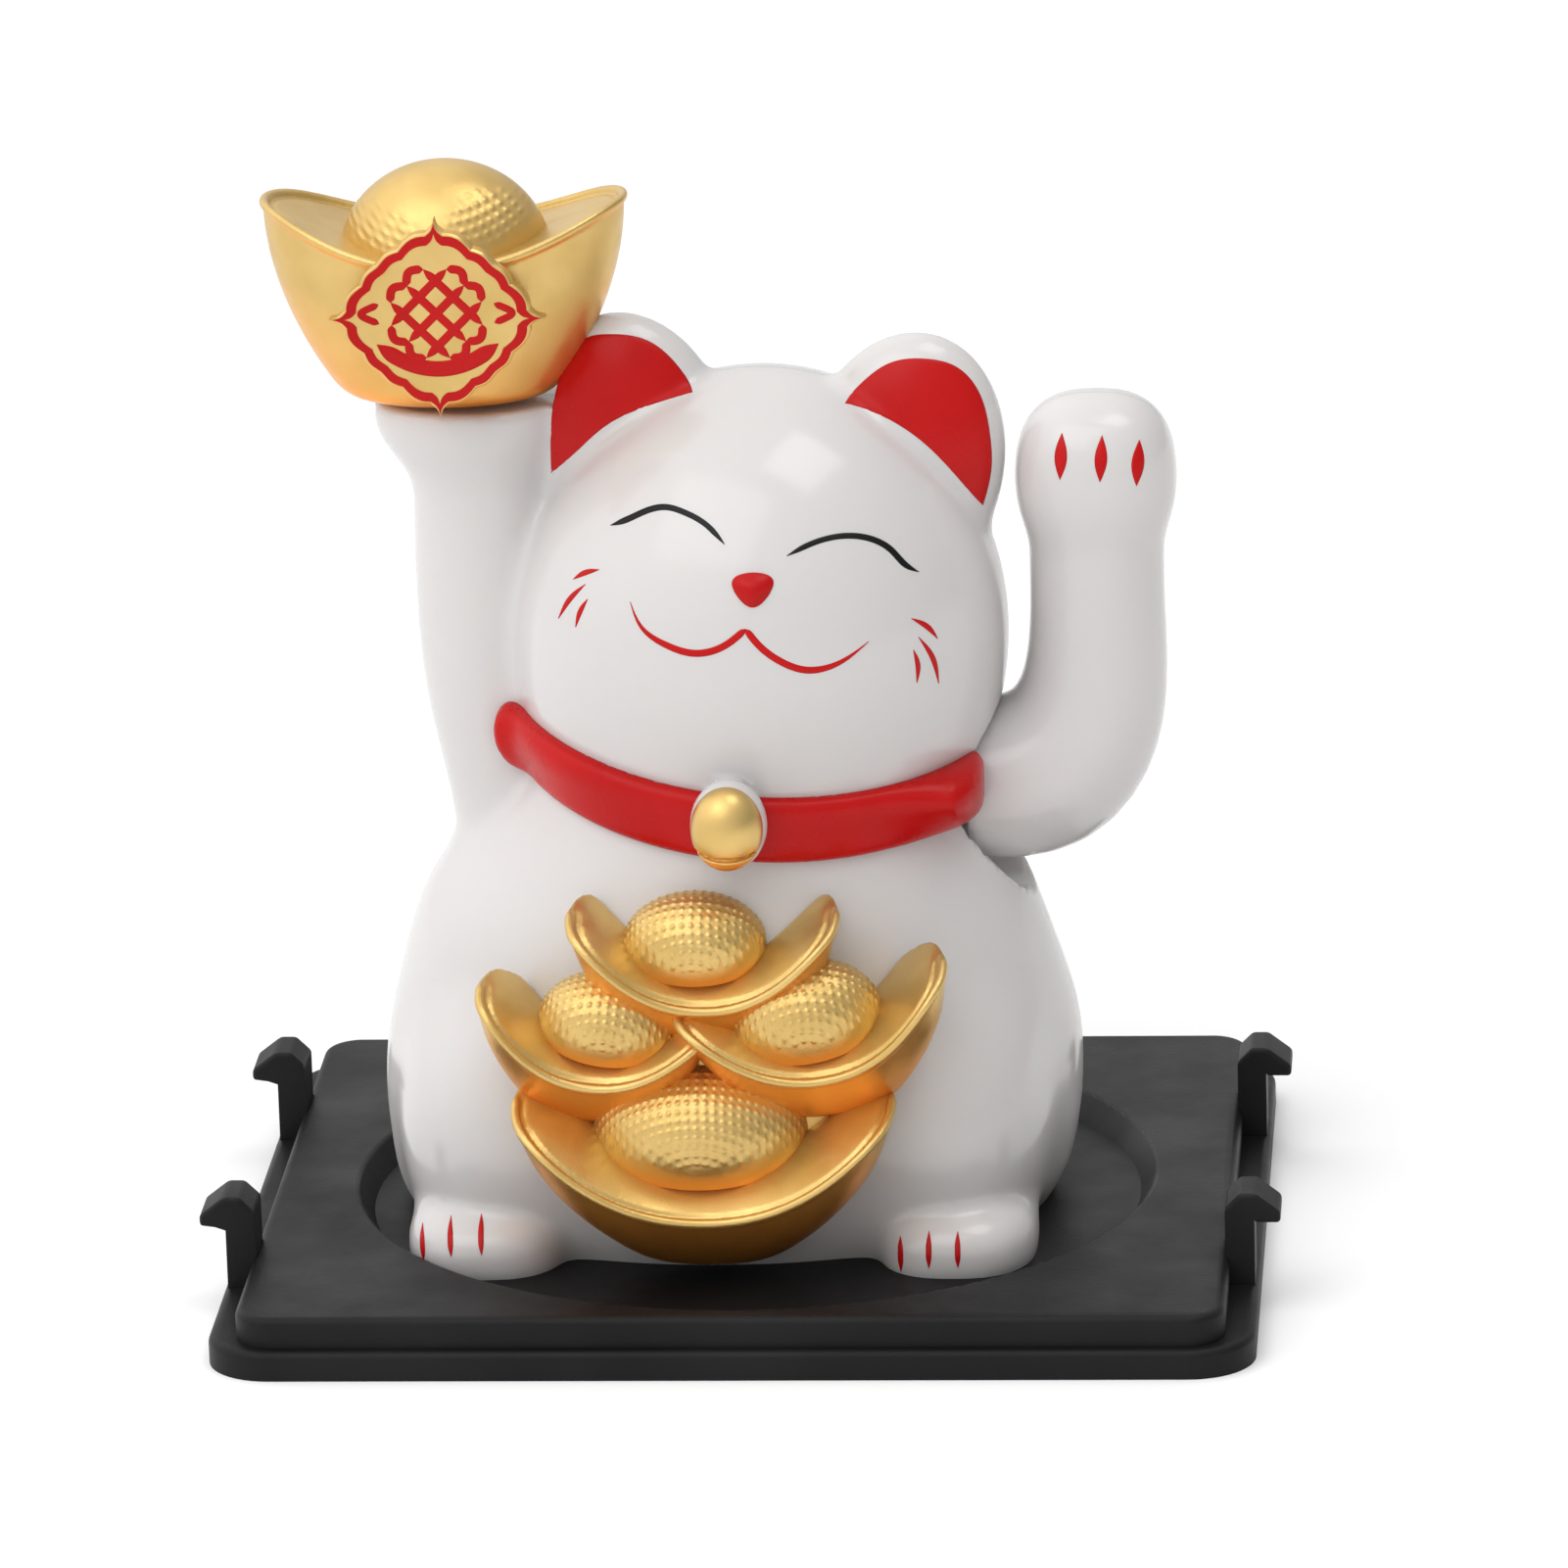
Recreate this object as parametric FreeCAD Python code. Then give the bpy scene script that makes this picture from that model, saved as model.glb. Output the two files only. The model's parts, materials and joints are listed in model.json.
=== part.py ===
"""A small beckoning cat figurine with a solar driven waving arm, on the black base tray of a display case.

Frame: +Z up, origin at the middle of the tray's underside, the cat faces -Y, the waving arm is at +X.
Millimetres. Every sub-part is written to parts/NODE.step.
"""

import FreeCAD
import Part

import math
import os

V = FreeCAD.Vector
X_AXIS = V(1, 0, 0)
Y_AXIS = V(0, 1, 0)
Z_AXIS = V(0, 0, 1)
BIG = 200.0

# ---------------------------------------------------------------- driving dimensions
# Tray: a shallow upturned dish with a raised deck, a dished round seat and four snap hooks.
DECK_HALF_WIDTH = 30.0
DECK_HALF_DEPTH = 26.6
DECK_TOP = 3.7
DECK_CORNER = 2.4
DECK_EDGE_ROUND = 0.5
FLANGE_HALF_WIDTH = 31.8
FLANGE_HALF_DEPTH = 27.4
FLANGE_TOP = 1.8
FLANGE_CORNER = 4.0
FLANGE_EDGE_ROUND = 0.5
TRAY_WALL = 1.3
SEAT_RIM_RADIUS = 25.0
SEAT_FLOOR_RADIUS = 24.0
SEAT_FLOOR = 2.2
SEAT_RIM_ROUND = 0.4

# Snap hooks, which hold a clear display cover.
HOOK_INNER = 29.75
HOOK_OUTER = 31.55
HOOK_TIP = 33.15
HOOK_BARB_BOTTOM = 5.75
HOOK_TIP_TOP = 6.45
HOOK_TOP = 7.6
HOOK_TOP_ROUND = 0.9
HOOK_WIDTH = 3.6
HOOK_FRONT_Y = -13.9
HOOK_REAR_Y = 13.7

# Cat body: (height, middle x, half width, half depth) of each cross-section, all centred on y = FIGURE_Y.
WALL = 1.4
FIGURE_X = -1.3
FIGURE_Y = 1.0
BODY_SECTIONS = (
    (1.0, -1.7, 19.2, 13.2),
    (3.2, -1.6, 20.6, 14.6),
    (6.5, -1.4, 21.5, 15.9),
    (10.5, -1.3, 21.8, 16.5),
    (14.5, -1.2, 21.4, 16.4),
    (18.5, -1.3, 20.3, 15.9),
    (22.5, -1.3, 18.9, 15.1),
    (26.0, -0.9, 16.9, 14.1),
    (29.5, -0.3, 14.4, 13.0),
    (33.0, 0.3, 12.6, 11.8),
    (38.0, 0.8, 9.5, 9.0),
)
BACK_FACET_Y = 15.4
PARTING_Y = 1.0

# Head and ears.
HEAD_CENTRE = V(1.2, 0.3, 38.7)
HEAD_HALF = V(15.3, 14.0, 16.9)
HEAD_ROLL = 6.0
EAR_HALF = V(6.2, 3.2, 8.6)
LEFT_EAR_CENTRE = V(-6.3, 0.6, 50.6)
RIGHT_EAR_CENTRE = V(10.2, 0.6, 49.2)
LEFT_EAR_ROLL = -10.0
RIGHT_EAR_ROLL = 14.0

# Raised arm that carries the ingot: (height, middle x, radius) of its cross-sections.
RAISED_ARM_Y = 1.6
RAISED_ARM_SECTIONS = (
    (20.0, -13.6, 4.6),
    (28.0, -13.7, 4.8),
    (34.0, -14.9, 4.7),
    (41.0, -15.6, 4.7),
    (52.0, -15.4, 4.6),
)
RAISED_PAW_CENTRE = V(-16.4, 1.2, 53.2)
RAISED_PAW_HALF = V(6.3, 5.4, 4.6)
PAW_TOP = 53.9

# Feet.
FOOT_HALF = V(4.9, 6.2, 4.2)
LEFT_FOOT_CENTRE = V(-15.7, -9.7, 3.0)
RIGHT_FOOT_CENTRE = V(13.2, -9.7, 3.0)

# Collar and bell.
COLLAR_CENTRE = V(-0.1, 0.0, 30.8)
COLLAR_HALF = V(15.5, 14.0, 7.6)
COLLAR_HALF_HEIGHT = 2.2
COLLAR_ROLL = 6.3
BELL_CENTRE = V(0.1, -14.0, 30.5)
BELL_RADIUS = 2.75

# Pile of ingots in the lap: (centre, half length, half breadth, rise of the tips over the rim's low middle,
# depth below it, roll about Y, half sizes of the dome, height of the dome's centre).
LAP_PITCH = 22.0
LAP_INGOTS = (
    (V(-1.5, -14.8, 10.3), 11.8, 6.6, 3.9, 6.9, 0.0, V(6.6, 4.0, 3.7), 0.8),
    (V(-8.5, -14.6, 17.6), 7.2, 4.8, 3.3, 5.0, 5.0, V(4.2, 3.0, 3.1), 0.9),
    (V(5.7, -14.8, 18.0), 8.1, 4.9, 3.5, 5.2, -10.0, V(4.6, 3.2, 3.3), 0.9),
    (V(-1.6, -13.8, 22.3), 8.2, 4.8, 3.2, 6.0, 0.0, V(4.7, 3.2, 3.3), 0.9),
)

# Held ingot.
INGOT_CENTRE_X = -17.4
INGOT_CENTRE_Y = 0.4
INGOT_SECTIONS = ((53.9, 6.2, 4.4), (55.2, 7.2, 5.0), (58.5, 9.1, 6.0), (62.5, 10.6, 6.6), (67.0, 11.2, 6.9))
INGOT_WALL = 1.3
SADDLE_RADIUS = 17.3
SADDLE_LOW = 63.0
DOME_CENTRE = V(-17.4, 0.6, 62.9)
DOME_HALF = V(6.2, 5.0, 6.0)
DOME_WALL = 1.2
PLAQUE_CENTRE_Z = 61.0
PLAQUE_HALF = 6.2
PLAQUE_FACE_Y = -7.6
PLAQUE_PLATE = 1.2
PLAQUE_DEPTH = 3.0

# Waving arm: a tube with one bend, turning on a shaft along X.
PIVOT_Y = PARTING_Y
PIVOT_Z = 29.2
ARM_RADIUS = 4.3
ARM_BORE = 3.2
ARM_ROOT_X = 16.0
ARM_ROOT_RADIUS = 5.1
ARM_ROOT_END_X = 20.5
ARM_BEND_RADIUS = 4.5
ARM_X = 22.05
ARM_TOP_Z = 49.2
PAW_HALF = V(4.85, 4.4, 4.85)
POCKET_FLOOR_X = 15.6
POCKET_RADIUS = 7.0
POCKET_WALL = 1.3
POCKET_WALL_RADIUS = 8.2

# Shaft, bushes, yoke and pendulum, all about the middle plane of the works.
WORKS_X = FIGURE_X
SHAFT_RADIUS = 1.0
SHAFT_LEFT_X = -12.2
SHAFT_RIGHT_X = 19.0
SHAFT_HOLE_RADIUS = 1.8
HUB_CLEARANCE = 0.05
BUSH_RADIUS = 1.9
BUSH_CLEARANCE = 0.03
YOKE_HALF_SPAN = 7.0
YOKE_EAR = 1.6
YOKE_TIP_RADIUS = 3.0
YOKE_PLATE_Y = 6.6
YOKE_PLATE = 1.0
YOKE_HALF_HEIGHT = 3.2
YOKE_SCREW_X = 3.4
YOKE_SCREW_LENGTH = 4.1
YOKE_BOSS_RADIUS = 1.9
YOKE_BOSS_END_Y = 13.4
CLIP_RADIUS = 2.0
CLIP_WIDTH = 0.8
LEVER_HUB_RADIUS = 2.6
LEVER_HUB_HALF = 3.0
LEVER_HALF_THICKNESS = 0.8
LEVER_HALF_WIDTH = 1.4
MAGNET_RADIUS = 3.5
MAGNET_BOTTOM = 10.2
MAGNET_HEIGHT = 2.5
MAGNET_CUP_WALL = 0.8

# Bottom cover, pad, board and what stands on it.
COVER_BOTTOM = 3.2
COVER_THICKNESS = 1.2
COVER_GAP = 0.15
COVER_SCREW_X = 13.8
COVER_SCREW_FRONT_Y = -4.4
COVER_SCREW_REAR_Y = 6.4
COVER_BOSS_RADIUS = 2.2
COVER_BOSS_TOP = 11.0
COVER_RIB_HALF = 0.5
SCREW_RADIUS = 0.9
SCREW_HEAD_RADIUS = 1.7
SCREW_HEAD = 0.8
SCREW_LENGTH = 5.5
THREAD_BITE = 0.02
PAD_RADIUS = 10.5
BOARD_HALF_WIDTH = 11.5
BOARD_HALF_DEPTH = 8.5
BOARD_BOTTOM = 5.4
BOARD_THICKNESS = 1.0
BOARD_SCREW = V(10.0, 6.5, 0)
STANDOFF_RADIUS = 1.7
SMALL_SCREW_RADIUS = 0.7
SMALL_SCREW_HEAD_RADIUS = 1.3
SMALL_SCREW_HEAD = 0.6
BOBBIN_CORE_RADIUS = 1.8
BOBBIN_RADIUS = 5.0
BOBBIN_HEIGHT = 3.0
BOBBIN_FLANGE = 0.5
BOBBIN_BORE = 0.8
WINDING_RADIUS = 4.6
CHIP_HALF = V(2.6, 2.2, 1.3)
CHIP_OFFSET = 8.2
CAPACITOR_RADIUS = 2.5
CAPACITOR_HEIGHT = 6.5
CAPACITOR_OFFSET = V(8.2, 0.5, 0)

# Solar cell in the back.
CELL_HALF_WIDTH = 8.2
CELL_HALF_HEIGHT = 5.0
CELL_THICKNESS = 1.1
CELL_Z = 12.6
GASKET_THICKNESS = 0.3
WINDOW_MARGIN = 1.1
LEAD_RADIUS = 0.45
LEAD_X = 6.8
LEAD_BEND = 1.6


# ---------------------------------------------------------------- shape helpers
def box(low, high):
    return Part.makeBox(high.x - low.x, high.y - low.y, high.z - low.z, low)


def rod(radius, start, axis, length):
    return Part.makeCylinder(radius, length, start, axis)


def ellipsoid(centre, half, roll=0.0, pitch=0.0):
    """An ellipsoid with its half sizes along X, Y and Z, pitched about X and then rolled about Y."""
    stretch = FreeCAD.Matrix()
    stretch.scale(half.x, half.y, half.z)
    shape = Part.makeSphere(1.0).transformGeometry(stretch)
    shape.rotate(V(0, 0, 0), X_AXIS, pitch)
    shape.rotate(V(0, 0, 0), Y_AXIS, roll)
    shape.translate(centre)
    return shape


def grown(half, by):
    return V(half.x + by, half.y + by, half.z + by)


def ellipse_wire(x, y, z, half_width, half_depth):
    return Part.Wire([Part.Ellipse(V(x, y, z), half_width, half_depth).toShape()])


def rounded_plate(half_width, half_depth, corner, bottom, top):
    plate = box(V(-half_width, -half_depth, bottom), V(half_width, half_depth, top))
    upright = [e for e in plate.Edges if abs(e.Vertexes[0].Z - e.Vertexes[1].Z) > 1e-6]
    return plate.makeFillet(corner, upright)


def edges_at(shape, z):
    """The edges that lie wholly at one height."""
    return [e for e in shape.Edges if abs(e.BoundBox.ZMin - z) < 1e-6 and abs(e.BoundBox.ZMax - z) < 1e-6]


def front_of(shape, y):
    return shape.common(box(V(-BIG, -BIG, -BIG), V(BIG, y, BIG)))


def back_of(shape, y):
    return shape.common(box(V(-BIG, y, -BIG), V(BIG, BIG, BIG)))


def fused(shapes):
    return shapes[0].multiFuse(shapes[1:])


def pan_screw(start, axis, head_radius, head, radius, length):
    """A pan head screw: the head's underside is at start and the shank runs along axis."""
    back = V(-axis.x, -axis.y, -axis.z)
    return rod(head_radius, start, back, head).fuse(rod(radius, start, axis, length))


# ---------------------------------------------------------------- tray
def snap_hook(side, middle_y):
    outline = [
        V(HOOK_INNER, 0, FLANGE_TOP / 2),
        V(HOOK_OUTER, 0, FLANGE_TOP / 2),
        V(HOOK_OUTER, 0, HOOK_BARB_BOTTOM),
        V(HOOK_TIP, 0, HOOK_BARB_BOTTOM),
        V(HOOK_TIP, 0, HOOK_TIP_TOP),
        V(HOOK_OUTER + 0.1, 0, HOOK_TOP),
        V(HOOK_INNER + HOOK_TOP_ROUND, 0, HOOK_TOP),
        V(HOOK_INNER, 0, HOOK_TOP - HOOK_TOP_ROUND),
        V(HOOK_INNER, 0, FLANGE_TOP / 2),
    ]
    face = Part.Face(Part.makePolygon([V(side * p.x, middle_y - HOOK_WIDTH / 2, p.z) for p in outline]))
    return face.extrude(V(0, HOOK_WIDTH, 0))


def display_tray():
    flange = rounded_plate(FLANGE_HALF_WIDTH, FLANGE_HALF_DEPTH, FLANGE_CORNER, 0, FLANGE_TOP)
    flange = flange.makeFillet(FLANGE_EDGE_ROUND, edges_at(flange, FLANGE_TOP))
    deck = rounded_plate(DECK_HALF_WIDTH, DECK_HALF_DEPTH, DECK_CORNER, 0, DECK_TOP)
    deck = deck.makeFillet(DECK_EDGE_ROUND, edges_at(deck, DECK_TOP))
    solid = flange.fuse(deck)
    pocket = rounded_plate(
        DECK_HALF_WIDTH - TRAY_WALL, DECK_HALF_DEPTH - TRAY_WALL, DECK_CORNER / 2, -1, DECK_TOP - TRAY_WALL)
    seat_outside = Part.makeCone(SEAT_FLOOR_RADIUS + TRAY_WALL, SEAT_RIM_RADIUS + TRAY_WALL, SEAT_FLOOR,
                                 V(0, 0, SEAT_FLOOR - TRAY_WALL))
    seat_outside = seat_outside.common(box(V(-BIG, -BIG, 0), V(BIG, BIG, DECK_TOP)))
    seat = Part.makeCone(SEAT_FLOOR_RADIUS, SEAT_RIM_RADIUS, DECK_TOP - SEAT_FLOOR, V(0, 0, SEAT_FLOOR))
    solid = solid.cut(pocket.cut(seat_outside)).cut(seat)
    seat_rim = [e for e in edges_at(solid, DECK_TOP) if abs(e.BoundBox.XMax - SEAT_RIM_RADIUS) < 0.01]
    solid = solid.makeFillet(SEAT_RIM_ROUND, seat_rim)
    hooks = [snap_hook(side, y) for side in (-1, 1) for y in (HOOK_FRONT_Y, HOOK_REAR_Y)]
    return solid.multiFuse(hooks).removeSplitter()


# ---------------------------------------------------------------- cat shells
def body_loft(inset):
    wires = [ellipse_wire(x, FIGURE_Y, z, a - inset, b - inset) for z, x, a, b in BODY_SECTIONS]
    return Part.makeLoft(wires, True, False)


def raised_arm(inset):
    wires = [Part.Wire([Part.Circle(V(x, RAISED_ARM_Y, z), Z_AXIS, r - inset).toShape()])
             for z, x, r in RAISED_ARM_SECTIONS]
    return Part.makeLoft(wires, True, False)


def cat_outside():
    parts = [
        body_loft(0),
        ellipsoid(HEAD_CENTRE, HEAD_HALF, HEAD_ROLL),
        ellipsoid(LEFT_EAR_CENTRE, EAR_HALF, LEFT_EAR_ROLL),
        ellipsoid(RIGHT_EAR_CENTRE, EAR_HALF, RIGHT_EAR_ROLL),
        raised_arm(0),
        ellipsoid(RAISED_PAW_CENTRE, RAISED_PAW_HALF),
        ellipsoid(LEFT_FOOT_CENTRE, FOOT_HALF),
        ellipsoid(RIGHT_FOOT_CENTRE, FOOT_HALF),
    ]
    solid = fused(parts)
    solid = solid.common(box(V(-BIG, -BIG, SEAT_FLOOR), V(BIG, BACK_FACET_Y, BIG)))
    over_paw = ellipsoid(RAISED_PAW_CENTRE, grown(RAISED_PAW_HALF, 1))
    return solid.cut(over_paw.common(box(V(-BIG, -BIG, PAW_TOP), V(0, BIG, BIG))))


def cat_inside():
    head = ellipsoid(HEAD_CENTRE, grown(HEAD_HALF, -WALL), HEAD_ROLL)
    arm = raised_arm(WALL).common(box(V(-BIG, -BIG, 0), V(BIG, BIG, PAW_TOP - 2 * WALL)))
    hollow = fused([body_loft(WALL), head, arm])
    feet = [ellipsoid(c, grown(FOOT_HALF, -WALL)) for c in (LEFT_FOOT_CENTRE, RIGHT_FOOT_CENTRE)]
    above_sole = box(V(-BIG, -BIG, SEAT_FLOOR + WALL), V(BIG, BIG, BIG))
    hollow = hollow.multiFuse([f.common(above_sole) for f in feet])
    return hollow.common(box(V(-BIG, -BIG, 0), V(BIG, BACK_FACET_Y - WALL, BIG)))


def cover_screw_points():
    return [V(FIGURE_X + side * COVER_SCREW_X, y, COVER_BOTTOM)
            for side in (-1, 1) for y in (COVER_SCREW_FRONT_Y, COVER_SCREW_REAR_Y)]


def cover_rib(point):
    """A web from a screw boss out to the side wall."""
    side = 1 if point.x > FIGURE_X else -1
    ends = sorted((point.x + side * COVER_BOSS_RADIUS * 0.8, FIGURE_X + side * 30))
    return box(V(ends[0], point.y - COVER_RIB_HALF, COVER_BOTTOM + COVER_THICKNESS),
               V(ends[1], point.y + COVER_RIB_HALF, COVER_BOSS_TOP))


def yoke_screw_points():
    return [V(WORKS_X + side * YOKE_SCREW_X, YOKE_PLATE_Y, PIVOT_Z) for side in (-1, 1)]


def window(half_width, half_height, start_y, depth):
    low = V(FIGURE_X - half_width, start_y, CELL_Z - half_height)
    return box(low, V(FIGURE_X + half_width, start_y + depth, CELL_Z + half_height))


def on_pivot(radius, low_x, high_x):
    return rod(radius, V(low_x, PIVOT_Y, PIVOT_Z), X_AXIS, high_x - low_x)


def shaft_hole():
    return on_pivot(SHAFT_HOLE_RADIUS, POCKET_FLOOR_X - 4, POCKET_FLOOR_X + 12)


def cat_shell(outside):
    """The white casing: hollow, with its bosses, the shoulder pocket and the window for the solar cell."""
    shell = outside.cut(cat_inside())
    cover_top = COVER_BOTTOM + COVER_THICKNESS
    bosses = [rod(COVER_BOSS_RADIUS, V(p.x, p.y, cover_top), Z_AXIS, COVER_BOSS_TOP - cover_top)
              for p in cover_screw_points()]
    bosses += [cover_rib(p) for p in cover_screw_points()]
    boss_start = YOKE_PLATE_Y + YOKE_PLATE
    bosses += [rod(YOKE_BOSS_RADIUS, V(p.x, boss_start, p.z), Y_AXIS, YOKE_BOSS_END_Y - boss_start)
               for p in yoke_screw_points()]
    bosses.append(on_pivot(POCKET_WALL_RADIUS, POCKET_FLOOR_X - POCKET_WALL, POCKET_FLOOR_X + 5))
    shell = shell.multiFuse([b.common(outside) for b in bosses])
    pocket = on_pivot(POCKET_RADIUS, POCKET_FLOOR_X, POCKET_FLOOR_X + 12)
    opening = window(CELL_HALF_WIDTH - WINDOW_MARGIN, CELL_HALF_HEIGHT - WINDOW_MARGIN, 0, 30)
    pilots = [rod(SCREW_RADIUS, V(p.x, p.y, 0), Z_AXIS, COVER_BOTTOM + SCREW_LENGTH + 0.5)
              for p in cover_screw_points()]
    pilots += [rod(SMALL_SCREW_RADIUS, V(p.x, boss_start, p.z), Y_AXIS, YOKE_SCREW_LENGTH - YOKE_PLATE + 0.5)
               for p in yoke_screw_points()]
    return shell.cut(fused([pocket, shaft_hole()])).cut(back_of(opening, 8)).cut(fused(pilots))


# ---------------------------------------------------------------- trim on the cat
def collar_blank():
    slab = box(V(-BIG, -BIG, -COLLAR_HALF_HEIGHT), V(BIG, BIG, COLLAR_HALF_HEIGHT))
    band = ellipsoid(V(0, 0, 0), COLLAR_HALF).common(slab)
    band.rotate(V(0, 0, 0), Y_AXIS, COLLAR_ROLL)
    band.translate(COLLAR_CENTRE)
    return band


def bell_blank():
    return Part.makeSphere(BELL_RADIUS, BELL_CENTRE)


def lap_ingot(half_length, half_breadth, rise, depth, dome_half, dome_height):
    """One ingot about its own centre: a boat with a saddle shaped rim, and a dome in it."""
    hull = ellipsoid(V(0, 0, rise), V(half_length, half_breadth, depth + rise))
    hull = hull.common(box(V(-BIG, -BIG, -BIG), V(BIG, BIG, rise)))
    rim_radius = (half_length ** 2 + rise ** 2) / (2 * rise)
    hull = hull.cut(rod(rim_radius, V(0, -BIG / 2, rim_radius), Y_AXIS, BIG))
    return hull.fuse(ellipsoid(V(0, 0, dome_height), dome_half))


def lap_ingots(outside):
    """Four ingots moulded as one piece that is glued to the belly."""
    pieces = []
    for centre, half_length, half_breadth, rise, depth, roll, dome_half, dome_height in LAP_INGOTS:
        piece = lap_ingot(half_length, half_breadth, rise, depth, dome_half, dome_height)
        piece.rotate(V(0, 0, 0), X_AXIS, LAP_PITCH)
        piece.rotate(V(0, 0, 0), Y_AXIS, roll)
        piece.translate(centre)
        pieces.append(piece)
    return fused(pieces).cut(outside)


def ingot_loft(inset):
    wires = [ellipse_wire(INGOT_CENTRE_X, INGOT_CENTRE_Y, z, a - inset, b - inset)
             for z, a, b in INGOT_SECTIONS]
    return Part.makeLoft(wires, True, False)


def saddle(radius):
    return rod(radius, V(INGOT_CENTRE_X, -BIG / 2, SADDLE_LOW + SADDLE_RADIUS), Y_AXIS, BIG)


def plaque(depth):
    corners = [V(1, 0, 0), V(0, 0, 1), V(-1, 0, 0), V(0, 0, -1), V(1, 0, 0)]
    centre = V(INGOT_CENTRE_X, PLAQUE_FACE_Y, PLAQUE_CENTRE_Z)
    face = Part.Face(Part.makePolygon([centre + c * PLAQUE_HALF for c in corners]))
    return face.extrude(V(0, depth, 0))


def held_ingot_boat(outside):
    """A hollow boat with a saddle shaped rim and a diamond plaque that stands up in front of the dome."""
    solid = ingot_loft(0).cut(saddle(SADDLE_RADIUS))
    hollow = ingot_loft(INGOT_WALL).cut(saddle(SADDLE_RADIUS + INGOT_WALL))
    backing = plaque(PLAQUE_DEPTH).cut(saddle(SADDLE_RADIUS)).cut(ingot_loft(INGOT_WALL))
    return solid.cut(hollow).multiFuse([backing, plaque(PLAQUE_PLATE)]).cut(outside)


def held_ingot_dome(boat):
    dome = ellipsoid(DOME_CENTRE, DOME_HALF)
    dome = dome.cut(ellipsoid(DOME_CENTRE, grown(DOME_HALF, -DOME_WALL)))
    dome = dome.common(saddle(SADDLE_RADIUS))
    return dome.cut(boat)


# ---------------------------------------------------------------- waving arm and pendulum
def arm_tube(radius, start_x, top_z):
    bend_x = ARM_X - ARM_BEND_RADIUS
    start = V(start_x, PIVOT_Y, PIVOT_Z)
    bend_start = V(bend_x, PIVOT_Y, PIVOT_Z)
    bend_end = V(ARM_X, PIVOT_Y, PIVOT_Z + ARM_BEND_RADIUS)
    reach = ARM_BEND_RADIUS * math.sin(math.radians(45))
    bend_middle = V(bend_x + reach, PIVOT_Y, PIVOT_Z + ARM_BEND_RADIUS - reach)
    end = V(ARM_X, PIVOT_Y, top_z)
    edges = [
        Part.LineSegment(start, bend_start).toShape(),
        Part.Arc(bend_start, bend_middle, bend_end).toShape(),
        Part.LineSegment(bend_end, end).toShape(),
    ]
    ring = Part.Wire([Part.Circle(start, X_AXIS, radius).toShape()])
    return Part.Wire(edges).makePipeShell([ring], True, False)


def arm_shell():
    outer = arm_tube(ARM_RADIUS, ARM_ROOT_X, ARM_TOP_Z)
    root_start = V(ARM_ROOT_X, PIVOT_Y, PIVOT_Z)
    root = Part.makeCone(ARM_ROOT_RADIUS, ARM_RADIUS, ARM_ROOT_END_X - ARM_ROOT_X, root_start, X_AXIS)
    outer = outer.multiFuse([root, ellipsoid(V(ARM_X, PIVOT_Y, ARM_TOP_Z), PAW_HALF)])
    inner = arm_tube(ARM_BORE, ARM_ROOT_X - 1, ARM_TOP_Z)
    hub_seat = on_pivot(ARM_BORE, ARM_ROOT_X - 1, SHAFT_RIGHT_X + 0.2)
    palm = ellipsoid(V(ARM_X, PIVOT_Y, ARM_TOP_Z), grown(PAW_HALF, ARM_BORE - ARM_RADIUS))
    inner = inner.multiFuse([hub_seat, palm])
    return outer.cut(inner)


def arm_hub():
    hub = on_pivot(ARM_BORE - HUB_CLEARANCE, ARM_ROOT_X, SHAFT_RIGHT_X)
    return hub.cut(on_pivot(SHAFT_RADIUS, ARM_ROOT_X - 1, SHAFT_RIGHT_X + 1))


def pendulum_lever():
    cup_top = MAGNET_BOTTOM + MAGNET_HEIGHT + MAGNET_CUP_WALL
    hub = on_pivot(LEVER_HUB_RADIUS, WORKS_X - LEVER_HUB_HALF, WORKS_X + LEVER_HUB_HALF)
    blade = box(V(WORKS_X - LEVER_HALF_WIDTH, PIVOT_Y - LEVER_HALF_THICKNESS, cup_top - 0.2),
                V(WORKS_X + LEVER_HALF_WIDTH, PIVOT_Y + LEVER_HALF_THICKNESS, PIVOT_Z))
    cup = rod(MAGNET_RADIUS + MAGNET_CUP_WALL, V(WORKS_X, PIVOT_Y, MAGNET_BOTTOM + 0.4), Z_AXIS,
              cup_top - MAGNET_BOTTOM - 0.4)
    return fused([hub, blade, cup]).cut(pendulum_magnet()).cut(on_pivot(SHAFT_RADIUS, -BIG / 2, BIG / 2))


def pendulum_magnet():
    return rod(MAGNET_RADIUS, V(WORKS_X, PIVOT_Y, MAGNET_BOTTOM), Z_AXIS, MAGNET_HEIGHT)


def yoke_ear_start(side):
    """The lower x of the yoke's ear on one side."""
    return WORKS_X + min(side * YOKE_HALF_SPAN, side * (YOKE_HALF_SPAN - YOKE_EAR))


def yoke():
    plate = box(V(WORKS_X - YOKE_HALF_SPAN, YOKE_PLATE_Y, PIVOT_Z - YOKE_HALF_HEIGHT),
                V(WORKS_X + YOKE_HALF_SPAN, YOKE_PLATE_Y + YOKE_PLATE, PIVOT_Z + YOKE_HALF_HEIGHT))
    ears = []
    for side in (-1, 1):
        low_x = yoke_ear_start(side)
        arm = box(V(low_x, PIVOT_Y, PIVOT_Z - YOKE_TIP_RADIUS),
                  V(low_x + YOKE_EAR, YOKE_PLATE_Y + YOKE_PLATE, PIVOT_Z + YOKE_TIP_RADIUS))
        ears += [arm, on_pivot(YOKE_TIP_RADIUS, low_x, low_x + YOKE_EAR)]
    holes = [rod(SMALL_SCREW_RADIUS + 0.15, V(p.x, 0, p.z), Y_AXIS, 20) for p in yoke_screw_points()]
    solid = plate.multiFuse(ears).cut(on_pivot(BUSH_RADIUS, -20, 20))
    return solid.cut(fused([back_of(h, YOKE_PLATE_Y - 1) for h in holes])).removeSplitter()


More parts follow.
